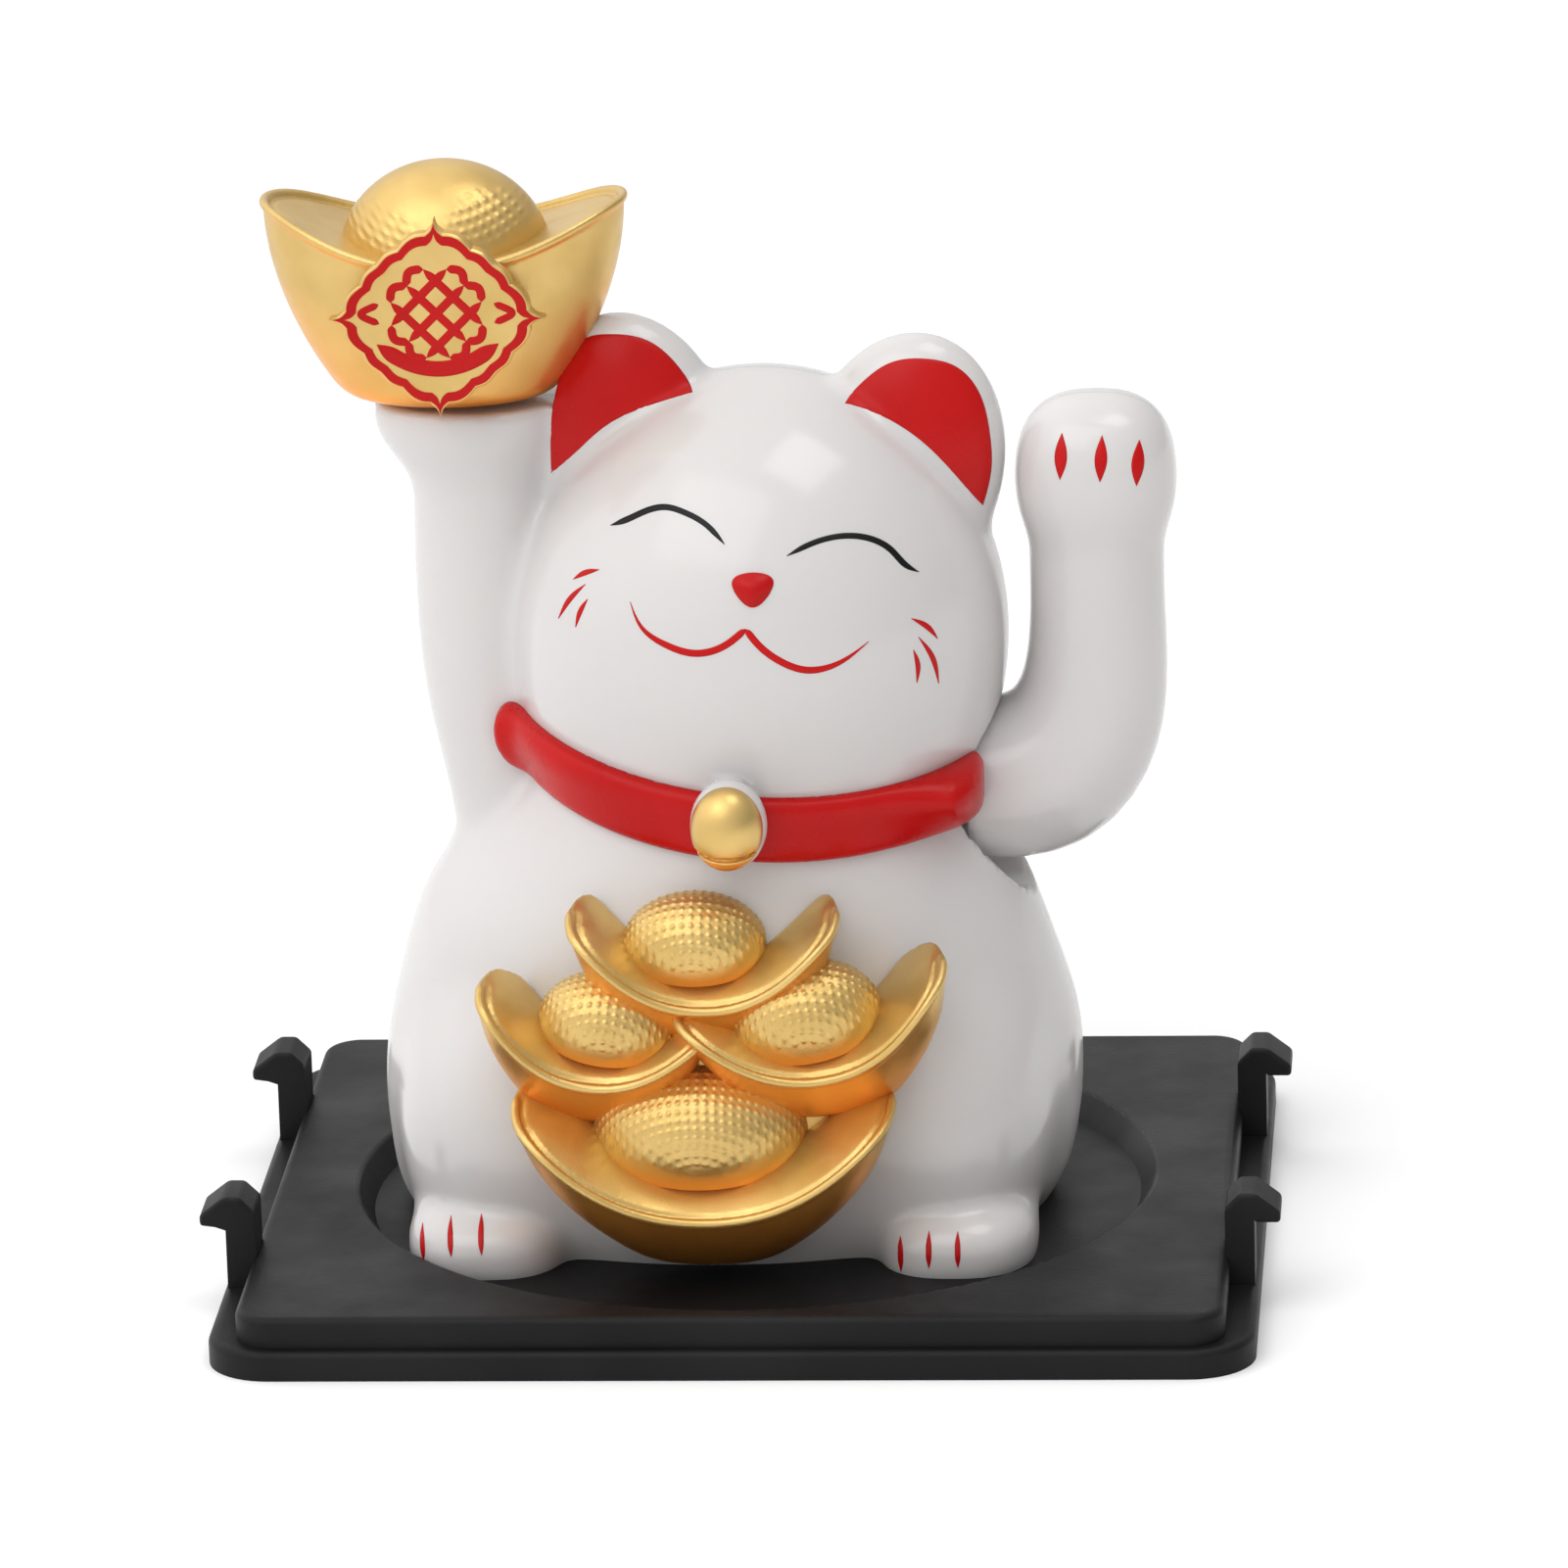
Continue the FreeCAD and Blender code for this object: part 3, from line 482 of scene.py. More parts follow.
# (height, middle x, radius) of the raised arm's cross-sections.
ARM_SECTIONS = np.array([
    (20.0, -13.4, 4.6), (28.0, -13.7, 4.7), (34.5, -14.9, 4.7),
    (42.0, -15.5, 4.6), (52.0, -15.4, 4.5),
])
arm_section = smooth_curve(ARM_SECTIONS[:, 0], ARM_SECTIONS[:, 1:])
ARM_Y = 1.6
ARM_MIDDLE_Z, ARM_HALF_LENGTH = 36.0, 17.0
PAW_CENTRE, PAW_HALF, PAW_TOP = (-16.3, 1.2, 53.0), (5.9, 5.2, 4.2), 53.9
THIGHS = ((-14.6, -7.3, 8.6), (11.9, -7.3, 8.6))
THIGH_HALF = (6.3, 6.6, 9.0)
FEET = ((-15.8, -9.9, 3.2), (13.1, -9.9, 3.2))
FOOT_HALF, FOOT_POWER = (5.0, 5.9, 3.0), 2.5
BELL_SEAT, BELL_SEAT_HALF = (0.1, -14.4, 31.0), (2.35, 2.35, 2.8)
# The pocket for the waving arm's root, which is longer below the shaft than above it.
POCKET_X, POCKET_HALF_DEPTH = 13.6, 5.5
POCKET_UP, POCKET_DOWN = 5.5, 7.1
SHAFT_HOLE_RADIUS, SHAFT_HOLE_X = 1.8, 8.0
CELL_LOW, CELL_HIGH = cad_box("solar_cell")
CELL_MARGIN, CELL_WINDOW_Y = 1.1, 8.0
# The flat seat for the held ingot: the paw is cut off above PAW_TOP, up to the head's side.
INGOT_SEAT_RADIUS = 8.5
INGOT_SEAT_RIGHT = -10.2
CASING_BOX = ((-24.5, -17.5, 0.6), (21.8, 17.0, 60.6))


def torso(p):
    """The body up to the neck, an ellipse at each height."""
    z = np.clip(p[:, 2], BODY_SECTIONS[0, 0], BODY_SECTIONS[-1, 0])
    middle, wide, deep = body_section(z).T
    u, v = p[:, 0] - middle, p[:, 1] - PARTING_Y
    near = np.hypot(u / wide, v / deep)
    slope = np.hypot(u / wide ** 2, v / deep ** 2)
    return np.maximum(near * (near - 1) / np.maximum(slope, 1e-6), p[:, 2] - BODY_SECTIONS[-1, 0])


def head(p):
    return ellipsoid(p, HEAD_CENTRE, HEAD_HALF, HEAD_ROLL)


def raised_arm(p):
    """The upright arm with the paw that carries the ingot."""
    z = np.clip(p[:, 2], ARM_SECTIONS[0, 0], ARM_SECTIONS[-1, 0])
    middle, radius = arm_section(z).T
    round_part = np.hypot(p[:, 0] - middle, p[:, 1] - ARM_Y) - radius
    arm = np.maximum(round_part, np.abs(p[:, 2] - ARM_MIDDLE_Z) - ARM_HALF_LENGTH)
    return join(arm, ellipsoid(p, PAW_CENTRE, PAW_HALF), 2.2)


def neck(p):
    """Body and head, which the collar lies on."""
    return join(torso(p), head(p), 1.0)


def cat(p):
    """The cat's outside, with no opening in it."""
    out = neck(p)
    for centre, roll in EARS:
        out = join(out, ellipsoid(p, centre, EAR_HALF, roll), 0.9)
    out = join(out, raised_arm(p), 1.2)
    for thigh, foot in zip(THIGHS, FEET):
        out = join(out, ellipsoid(p, thigh, THIGH_HALF), 3.0)
        out = join(out, pebble(p, foot, FOOT_HALF, FOOT_POWER), 1.0)
    out = join(out, ellipsoid(p, BELL_SEAT, BELL_SEAT_HALF), 0.25)
    return meet(out, p[:, 1] - BACK_FACET_Y, 0.6)


def shoulder_pocket(p):
    """The opening that the waving arm's root sits in."""
    y, z = p[:, 1] - PIVOT[1], p[:, 2] - PIVOT[2]
    tall = np.where(z < 0, POCKET_DOWN, POCKET_UP)
    round_part = (np.hypot(y / POCKET_HALF_DEPTH, z / tall) - 1) * POCKET_HALF_DEPTH
    return np.maximum(round_part, POCKET_X - p[:, 0])


def from_shaft(p):
    """Each point's distance from the shoulder shaft's axis."""
    return np.hypot(p[:, 1] - PIVOT[1], p[:, 2] - PIVOT[2])


def shaft_hole(p):
    """The hole in the pocket's floor that the shaft comes out of."""
    return np.maximum(from_shaft(p) - SHAFT_HOLE_RADIUS, SHAFT_HOLE_X - p[:, 0])


def cell_window(p):
    """The window in the back that shows the solar cell."""
    low, high = CELL_LOW + CELL_MARGIN, CELL_HIGH - CELL_MARGIN
    sides = np.maximum(slab(p[:, 0], low[0], high[0]), slab(p[:, 2], low[2], high[2]))
    return np.maximum(sides, CELL_WINDOW_Y - p[:, 1])


def ingot_seat(p):
    """The space above the paw that the held ingot takes up."""
    round_part = np.hypot(p[:, 0] - PAW_CENTRE[0], p[:, 1] - PAW_CENTRE[1]) - INGOT_SEAT_RADIUS
    return np.maximum(np.maximum(PAW_TOP - p[:, 2], round_part), p[:, 0] - INGOT_SEAT_RIGHT)


def casing(p):
    """The hollow casing with its openings; the bell's seat stays solid."""
    outside = meet(cat(p), -ingot_seat(p), 0.25)
    outside = meet(outside, -shoulder_pocket(p), 0.35)
    shell = np.maximum(outside, -(outside + WALL))
    solid_seat = np.maximum(outside, ellipsoid(p, BELL_SEAT, BELL_SEAT_HALF))
    shell = np.minimum(shell, solid_seat)
    return meet(np.maximum(shell, -shaft_hole(p)), -cell_window(p), 0.3)


def build_halves(field, box, body, names, sole=None):
    """A hollow shell as a front and a back piece; names: each piece's name and its CAD node's."""
    verts, quads = surface_net(field, *box, FINE)
    for (name, node), side in zip(names, (-1, 1)):
        half = net_object(name, verts, quads, WHITE)
        if sole is not None:
            cut_flat(half, (0, 0, sole), (0, 0, 1))
        cut_flat(half, (0, PARTING_Y + side * SEAM, 0), (0, side, 0))
        hand_over(outward(half), body, "white_plastic", node)


build_halves(casing, CASING_BOX, FIGURE,
             (("body_front_casing", "body_front_shell"), ("body_back_casing", "body_back_shell")), SOLE_Z)

# -------- the waving arm
ROOT_X = POCKET_X + 0.3
# (x, z, radius) along the arm's bent middle line.
ELBOW_SECTIONS = (
    (ROOT_X - 2.0, 29.2, 4.9), (15.6, 29.2, 5.0), (18.6, 29.9, 5.1),
    (20.7, 32.1, 4.8), (21.75, 35.5, 4.4), (22.0, 41.0, 4.1),
    (22.05, 48.0, 4.2),
)
ELBOW_STEPS = 28
WAVING_PAW = (22.05, PIVOT[1], 48.95)
WAVING_PAW_HALF, WAVING_PAW_POWER = (4.85, 4.35, 4.8), 2.5
ARM_BOX = ((13.0, -5.2, 22.8), (28.2, 7.2, 55.4))


def elbow_line():
    """Points and radii along the bent middle line of the arm."""
    path = curve_through(ELBOW_SECTIONS, ELBOW_STEPS)
    return np.stack([path[:, 0], np.full(len(path), PIVOT[1]), path[:, 1]], 1), path[:, 2]


ELBOW_LINE, ELBOW_RADIUS = elbow_line()


def arm_outside(p):
    """The waving arm's outside, from its root to its paw."""
    out = None
    for i in range(ELBOW_STEPS - 1):
        part = cone_rod(p, ELBOW_LINE[i], ELBOW_LINE[i + 1], ELBOW_RADIUS[i], ELBOW_RADIUS[i + 1])
        out = part if out is None else join(out, part, 0.15)
    return join(out, pebble(p, WAVING_PAW, WAVING_PAW_HALF, WAVING_PAW_POWER), 1.5)


def arm_shell(p):
    """The hollow waving arm, open at its root."""
    outside = arm_outside(p)
    return meet(np.maximum(outside, -(outside + ARM_WALL)), ROOT_X - p[:, 0], 0.3)


build_halves(arm_shell, ARM_BOX, ARM,
             (("arm_front_casing", "arm_front_half"), ("arm_back_casing", "arm_back_half")))

# -------- collar and bell
COLLAR_CENTRE, COLLAR_ROLL = (-0.1, 0.0, 30.25), 6.3
COLLAR_UP = rotation(COLLAR_ROLL)[:, 2]
COLLAR_LIFT = 0.0083
COLLAR_HALF_HEIGHT, COLLAR_BULGE, COLLAR_SUNK = 2.15, 1.25, 0.3
COLLAR_LEFT_X, COLLAR_RIGHT_X = -15.1, 15.1
COLLAR_END = 1.5
# Towards the waving arm the band stands out further, and it leaves room for the arm's root.
COLLAR_FLARE, COLLAR_FLARE_FROM, COLLAR_FLARE_TO = 1.7, 8.5, 13.5
COLLAR_ROOT_GAP, COLLAR_ROOT_X = 5.35, 8.0
COLLAR_BOX, COLLAR_STEP = ((-16.6, -16.9, 25.0), (17.6, 16.9, 37.6)), 0.8 * FINE


def collar(p):
    """A band of half round section, from the front of the raised arm round the neck to its back."""
    x = p[:, 0]
    height = ((p - np.array(COLLAR_CENTRE)) @ COLLAR_UP - COLLAR_LIFT * x ** 2) / COLLAR_HALF_HEIGHT
    flare = np.clip((x - COLLAR_FLARE_FROM) / (COLLAR_FLARE_TO - COLLAR_FLARE_FROM), 0, 1)
    bulge = (COLLAR_BULGE + COLLAR_FLARE * flare ** 2) * np.sqrt(np.clip(1 - height ** 2, 0, 1))
    surface = join(neck(p), raised_arm(p), 1.5)
    end = np.minimum(x - COLLAR_LEFT_X - COLLAR_END, 0) / COLLAR_END
    band = meet(surface - bulge, (np.hypot(height, end) - 1) * COLLAR_HALF_HEIGHT, 0.5)
    band = meet(band, x - COLLAR_RIGHT_X, 1.2)
    root = np.maximum(from_shaft(p) - COLLAR_ROOT_GAP, COLLAR_ROOT_X - x)
    band = meet(band, -root, 0.9)
    return np.maximum(band, -(surface + COLLAR_SUNK))


build_solid("collar_band", collar, COLLAR_BOX, COLLAR_STEP, RED, "red_plastic", "collar")

BELL_CENTRE, BELL_HALF = (0.1, -15.9, 31.2), (2.2, 1.9, 2.6)
BELL_SLOT_Z, BELL_SLOT_HALF, BELL_SLOT_DEEP, BELL_SLOT_CURVE = 29.6, 0.13, 0.3, 0.1
BELL_BOX, BELL_STEP = ((-2.4, -18.3, 28.2), (2.7, -13.8, 34.3)), 0.14


def bell(p):
    """A bell with a fine slot low on its front."""
    outside = ellipsoid(p, BELL_CENTRE, BELL_HALF)
    above = p[:, 2] - BELL_SLOT_Z - BELL_SLOT_CURVE * (p[:, 0] - BELL_CENTRE[0]) ** 2
    depth = np.maximum(-(outside + BELL_SLOT_DEEP), p[:, 1] - BELL_CENTRE[1])
    return meet(outside, -np.maximum(np.abs(above) - BELL_SLOT_HALF, depth), 0.12)


build_solid("bell_ball", bell, BELL_BOX, BELL_STEP, GOLD, "gold_plastic", "bell")

# -------- ingots
LIP_RADIUS, GROOVE_RADIUS, GROOVE_INSET = 0.30, 0.15, 0.50
BOAT_SHEER = 1.2
# A dome starts below its boat's rim, at this share of its height, and has this many rings.
DOME_LOW, DOME_LEVELS = -0.35, 90


def placed(points, centre, roll=0.0, pitch=0.0):
    """Points from a piece's own axes at their place on the figure."""
    return np.asarray(points) @ rotation(roll, pitch).T + np.array(centre)


def ingot_boat(q, half, base_half, rise, droop, depth, power, drop, lip=1.0):
    """A boat about its rim's middle, with a flared hull, a rolled lip and a broad saddle shaped top.

    half: half length and breadth at the top
    base_half: the same at the base
    rise: height of the tips
    droop: how far the rim's long sides hang
    depth: down to the base
    power: 2 for an ellipse in plan, more for blunter ends
    drop: how much the tips bend down again, as a share of rise
    lip: the share of its full size that the lip has
    """
    x, y, z = q.T
    grow = np.sin(math.pi / 2 * np.clip((z + depth) / (depth + rise), 0, 1)) ** 0.8
    a = base_half[0] + (half[0] - base_half[0]) * grow
    b = base_half[1] + (half[1] - base_half[1]) * grow
    u, v = np.abs(x) / a, np.abs(y) / b
    near = np.maximum((u ** power + v ** power) ** (1 / power), 1e-3)
    slope = np.hypot(u ** (power - 1) / a, v ** (power - 1) / b) * near ** (1 - power)
    side = (near - 1) / np.maximum(slope, 1e-3) * np.minimum(near, 1)
    along, across = x / half[0], y / half[1]
    top = rise * (BOAT_SHEER * along ** 2 - drop * along ** 8) - droop * across ** 2
    tilt = np.hypot(rise * (2 * BOAT_SHEER * along - 8 * drop * along ** 7) / half[0],
                    2 * droop * across / half[1])
    over = (z - top) / np.hypot(1, tilt)
    body = meet(meet(side, -depth - z, 1.2), over, 0.15)
    body = join(body, np.hypot(side + 0.08, over + 0.02) - LIP_RADIUS * lip, 0.1)
    return meet(body, GROOVE_RADIUS * lip - np.hypot(side + GROOVE_INSET, over - 0.04), 0.08)


def dome_points(half, around):
    """Points of an ellipsoid's cap, in rings from its low edge to near the top."""
    angle = np.linspace(math.asin(DOME_LOW), math.pi / 2 * 0.992, DOME_LEVELS)
    t = np.linspace(0, TAU, around, endpoint=False)
    return np.array([np.stack([half[0] * math.cos(a) * np.cos(t), half[1] * math.cos(a) * np.sin(t),
                               half[2] * math.sin(a) + 0 * t], 1) for a in angle])


def beads(east, north, pitch):
    """Rows of round beads: 1 on a bead's top and 0 between beads."""
    wave = np.cos(TAU * east / pitch) + np.cos(TAU * north / pitch)
    return np.square(np.clip((wave + 0.7) / 2.7, 0, 1))


def studded(points, half):
    """Raises a dome's points into rows of small beads, with a smooth border all round."""
    normal = unit(points / np.square(half))
    east = half[0] * np.arcsin(np.clip(points[..., 0] / half[0], -1, 1))
    north = half[1] * np.arcsin(np.clip(points[..., 1] / half[1], -1, 1))
    share = np.clip((points[..., 2] / half[2] - STUD_BORDER) / STUD_BORDER, 0, 1)
    return points + normal * (beads(east, north, STUD_PITCH) * share * STUD_LIFT)[..., None]


LAP_PITCH = 22.0
# Each lap ingot: name, centre, roll, boat sizes as for ingot_boat, dome half sizes, dome place in the boat.
LAP_INGOTS = (
    ("lap_ingot_bottom", (-1.8, -14.9, 10.3), 0.0, ((11.6, 6.6), (4.2, 3.0), 4.8, 1.3, 6.9, 2.5, 0.38),
     (6.6, 4.5, 4.3), (-0.3, 0.6, 1.45)),
    ("lap_ingot_left", (-8.5, -14.7, 17.4), 8.0, ((7.3, 4.4), (3.0, 2.2), 3.6, 0.9, 5.0, 2.5, 0.38),
     (4.2, 3.1, 3.2), (0.7, 0.3, 1.3)),
    ("lap_ingot_right", (5.4, -14.9, 18.0), -10.0, ((8.4, 4.8), (3.2, 2.3), 4.4, 0.9, 5.2, 2.5, 0.38),
     (4.65, 3.3, 3.6), (-0.7, 0.2, 1.2)),
    ("lap_ingot_top", (-1.6, -13.9, 22.3), 0.0, ((8.2, 4.8), (3.2, 2.3), 4.1, 1.0, 6.0, 2.5, 0.38),
     (4.35, 3.1, 3.15), (-0.6, 0.15, 1.2)),
)
LAP_DOME_AROUND, HELD_DOME_AROUND = 340, 300
STUD_PITCH, STUD_LIFT, STUD_BORDER = 0.56, 0.08, 0.07
BOAT_STEP = 0.17
# The grid's room at a boat's sides, below it and above it.
BOAT_ROOM = (0.8, 0.6, 0.9)
# Where a boat meets the belly: how far it sinks in, how its edge rounds, and where its lip begins to fade.
BELLY_SUNK, BELLY_ROUND, LIP_FADE = 0.35, 1.3, 1.2
MOUND_CENTRE, MOUND_HALF = (-1.5, -15.0, 14.2), (8.6, 6.0, 5.0)
MOUND_SUNK, MOUND_LIFT, MOUND_EDGE = 0.5, 0.45, 0.3
MOUND_BOX, MOUND_STEP = ((-11, -18.0, 8), (8, -12, 20.4)), 0.3


def build_boat(name, centre, roll, pitch, sizes, on_belly):
    """One boat as a mesh, from its field in its own axes; on the belly its edges roll down to the casing."""
    half, rise, depth = sizes[0], sizes[2], sizes[4]

    def boat(q):
        if not on_belly:
            return ingot_boat(q, *sizes)
        body = ingot_boat(q, *sizes, lip=1 - np.clip(q[:, 1] / LIP_FADE, 0, 1))
        return meet(body, -BELLY_SUNK - torso(placed(q, centre, roll, pitch)), BELLY_ROUND)

    beside, below, above = BOAT_ROOM
    low = (-half[0] - beside, -half[1] - beside, -depth - below)
    high = (half[0] + beside, half[1] + beside, rise + above)
    verts, quads = surface_net(boat, low, high, BOAT_STEP)
    return outward(net_object(name, placed(verts, centre, roll, pitch), quads, GOLD))


def lap_mound(p):
    """The low mound on the belly that joins the four ingots."""
    over_belly = slab(torso(p), -MOUND_SUNK, MOUND_LIFT)
    return meet(over_belly, ellipsoid(p, MOUND_CENTRE, MOUND_HALF), MOUND_EDGE)


def build_lap_ingots():
    for name, centre, roll, sizes, dome, place in LAP_INGOTS:
        nodes = ["lap_ingots"] if name == "lap_ingot_bottom" else []
        hand_over(build_boat(name, centre, roll, LAP_PITCH, sizes, True), FIGURE, "gold_plastic", *nodes)
        points = studded(dome_points(dome, LAP_DOME_AROUND), dome)
        points = placed(points + np.array(place), centre, roll, LAP_PITCH)
        hand_over(lofted(name + "_dome", points, GOLD), FIGURE, "gold_plastic")
    build_solid("lap_mound", lap_mound, MOUND_BOX, MOUND_STEP, GOLD, "gold_plastic")


build_lap_ingots()

HELD_CENTRE = (-17.4, 0.4, 63.6)
HELD_SIZES = ((11.05, 6.8), (6.1, 4.4), 2.95, 0.0, 9.4, 2.0, 0.2)
HELD_DOME_CENTRE, HELD_DOME_HALF = (-17.4, 0.5, 62.9), (6.5, 5.2, 6.0)
# The two fans of beads on the held dome: their middles (x, z), half sizes, height, pitch and bend.
FAN_MIDDLES, FAN_HALF = ((-3.6, 2.7), (3.0, 3.3)), (2.7, 1.6)
FAN_LIFT, FAN_PITCH, FAN_BEND = 0.09, 0.62, 0.12


def dome_relief(points):
    """Two fans of fine beads low on the held dome's front, one on each side of the plaque's top."""
    x, y, z = points[..., 0], points[..., 1], points[..., 2]
    fans = 0
    for middle_x, middle_z in FAN_MIDDLES:
        away = np.hypot((x - middle_x) / FAN_HALF[0], (z - middle_z) / FAN_HALF[1])
        fans = fans + np.clip((1 - away) / 0.3, 0, 1) * (y < 0)
    return FAN_LIFT * fans * beads(x + FAN_BEND * z ** 2, z - FAN_BEND * x ** 2 / 2, FAN_PITCH)


def build_held_ingot():
    boat = build_boat("held_boat", HELD_CENTRE, 0.0, 0.0, HELD_SIZES, False)
    hand_over(boat, FIGURE, "gold_plastic", "held_ingot_boat")
    points = dome_points(HELD_DOME_HALF, HELD_DOME_AROUND)
    points = points + unit(points / np.square(HELD_DOME_HALF)) * dome_relief(points)[..., None]
    dome = lofted("held_dome", placed(points, HELD_DOME_CENTRE), GOLD)
    hand_over(dome, FIGURE, "gold_plastic", "held_ingot_dome")


build_held_ingot()

# -------- paint, laid on from the front
PAINT, SUNK = 0.045, 0.12
IN_FRONT_Y, LOOK_STEPS = -26.0, 60
EYE_WIDTH, MOUTH_WIDTH, WHISKER_WIDTH = 0.29, 0.4, 0.26
FOOT_CLAW_WIDTH, WAVING_CLAW_WIDTH = 0.32, 0.74
NOSE_RISE = 0.45


def seen_from_front(field, x, z):
    """The first points of a field's surface that are met from the front at given x and z."""
    points = np.stack([x, np.full_like(x, IN_FRONT_Y), z], -1).reshape(-1, 3)
    for _ in range(LOOK_STEPS):
        points[:, 1] += 0.7 * np.clip(field(points), -1, 3)
    return points.reshape(*np.shape(x), 3)


def outward_slope(field, points):
    """The surface's outward direction at each point."""
    return unit(slope_of(field, points.reshape(-1, 3))).reshape(points.shape)


def line_of_paint(name, field, points, width, thin, material, slot, body=FIGURE):
    """A fine raised line through a few (x, z) points; thin: the share of it over which each end tapers."""
    line = curve_through(points, 40)
    run = unit(np.gradient(line, axis=0))
    across = np.stack([run[:, 1], -run[:, 0]], 1)
    share = np.linspace(0, 1, len(line))
    taper = np.sin(math.pi / 2 * np.minimum(1, np.minimum(share / thin[0], (1 - share) / thin[1])))
    half = width / 2 * taper + 0.015
    side = np.linspace(-1, 1, 9)
    spread = line[:, None] + across[:, None] * (half[:, None] * side)[..., None]
    ground = seen_from_front(field, spread[..., 0], spread[..., 1])
    normal = outward_slope(field, ground)
    top = ground + normal * (PAINT * np.sqrt(1 - 0.95 * side ** 2))[None, :, None]
    rings = np.concatenate([ground - normal * SUNK, top[:, ::-1]], axis=1)
    return hand_over(lofted(name, rings, material), body, slot)


def red_patch(name, outline, centre, rise=0.0):
    """A filled shape on the head, seen whole from its centre; rise: how much it swells there."""
    levels = np.append(np.linspace(0.04, 0.97, 16), 1.0)
    spread = np.array(centre) + (np.asarray(outline) - centre) * levels[:, None, None]
    ground = seen_from_front(cat, spread[..., 0], spread[..., 1])
    normal = outward_slope(cat, ground)
    height = PAINT + rise * (1 - levels ** 2)
    height[-1] = 0.4 * PAINT
    top = ground + normal * height[:, None, None]
    rings = np.concatenate([ground - normal * SUNK, top[::-1]])
    return hand_over(lofted(name, rings, RED), FIGURE, "red_plastic")


def closed_curve(points, count):
    """count points on a smooth closed curve through a few points."""
    points = np.asarray(points, float)
    wrapped = np.concatenate([points[-3:], points, points[:4]])
    knots = np.concatenate([[0], np.cumsum(np.linalg.norm(np.diff(wrapped, axis=0), axis=1))])
    around = np.linspace(knots[3], knots[3 + len(points)], count, endpoint=False)
    return smooth_curve(knots, wrapped)(around)


def bowed(start, end, bow):
    """Three points on a shallow arc from start to end, which stands off by bow times its length."""
    start, end = np.array(start), np.array(end)
    run = end - start
    return np.array([start, (start + end) / 2 + bow * np.array([-run[1], run[0]]), end])


# Places on the face are (x, z). Left is the viewer's left.
EYES = (
    ((-7.0, 48.2), (-6.0, 48.65), (-4.7, 49.3), (-3.5, 49.6), (-2.3, 49.4), (-1.1, 48.9), (0.15, 47.8)),
    ((3.9, 47.1), (5.45, 47.7), (7.3, 47.9), (8.9, 47.5), (10.05, 46.7), (10.9, 45.7), (11.65, 45.15)),
)
# Each half of the mouth, with the shares of its length over which its ends taper.
MOUTH = (
    (((-5.7, 44.2), (-5.0, 42.8), (-3.5, 41.9), (-1.7, 41.5), (0.1, 42.0), (1.4, 43.0)), (0.5, 0.04)),
    (((1.4, 43.0), (2.2, 42.0), (3.65, 40.9), (4.9, 40.4), (6.85, 40.6), (8.7, 41.7)), (0.04, 0.5)),
)
# Each whisker's start, end and bow.
WHISKERS = (
    ((-9.4, 44.8), (-7.7, 45.7), 0.06), ((-10.4, 42.3), (-8.6, 44.7), 0.06),
    ((-9.25, 42.1), (-8.45, 43.9), 0.06), ((11.2, 42.6), (12.7, 41.0), 0.08),
    ((11.6, 41.4), (12.7, 38.2), 0.08), ((11.3, 40.7), (11.45, 38.6), 0.08),
)
NOSE = ((0.6, 45.75), (1.8, 46.25), (3.1, 45.75), (2.75, 44.85), (1.85, 44.25), (0.95, 44.85))
NOSE_CENTRE = (1.85, 45.3)
# Each ear's lining: its outer edge, its lower edge and a point from which it is seen whole.
EAR_LININGS = (
    (((-11.2, 49.6), (-11.1, 52.4), (-10.6, 55.3), (-8.7, 58.0), (-7.5, 58.2), (-5.1, 57.8), (-3.4, 56.4),
      (-2.3, 54.8)),
     ((-2.3, 54.8), (-5.1, 54.05), (-7.6, 52.9), (-9.4, 51.3), (-11.2, 49.6)),
     (-7.6, 55.2)),
    (((7.0, 54.1), (8.0, 55.1), (9.8, 56.3), (11.9, 56.5), (13.7, 55.95), (15.1, 54.3), (15.7, 51.9),
      (15.75, 49.4), (15.2, 47.2)),
     ((15.2, 47.2), (13.6, 49.5), (11.6, 51.75), (9.2, 53.3), (7.0, 54.1)),
     (12.4, 53.6)),
)
FOOT_CLAWS = (
    ((-19.67, 5.0), (-19.55, 3.05)), ((-17.84, 5.66), (-17.71, 3.7)),
    ((-15.93, 5.9), (-15.81, 3.86)), ((9.86, 4.57), (9.85, 2.4)),
    ((11.65, 5.05), (11.62, 2.9)), ((13.41, 5.06), (13.41, 2.97)),
)
WAVING_CLAWS = (
    ((20.2, 52.1), (20.05, 49.4)),
    ((22.65, 52.0), (22.5, 49.3)),
    ((24.9, 51.6), (24.7, 48.9)),
)


def red_line(name, field, points, width, thin, body=FIGURE):
    """A line of the collar's red paint."""
    return line_of_paint(name, field, points, width, thin, RED, "red_plastic", body)


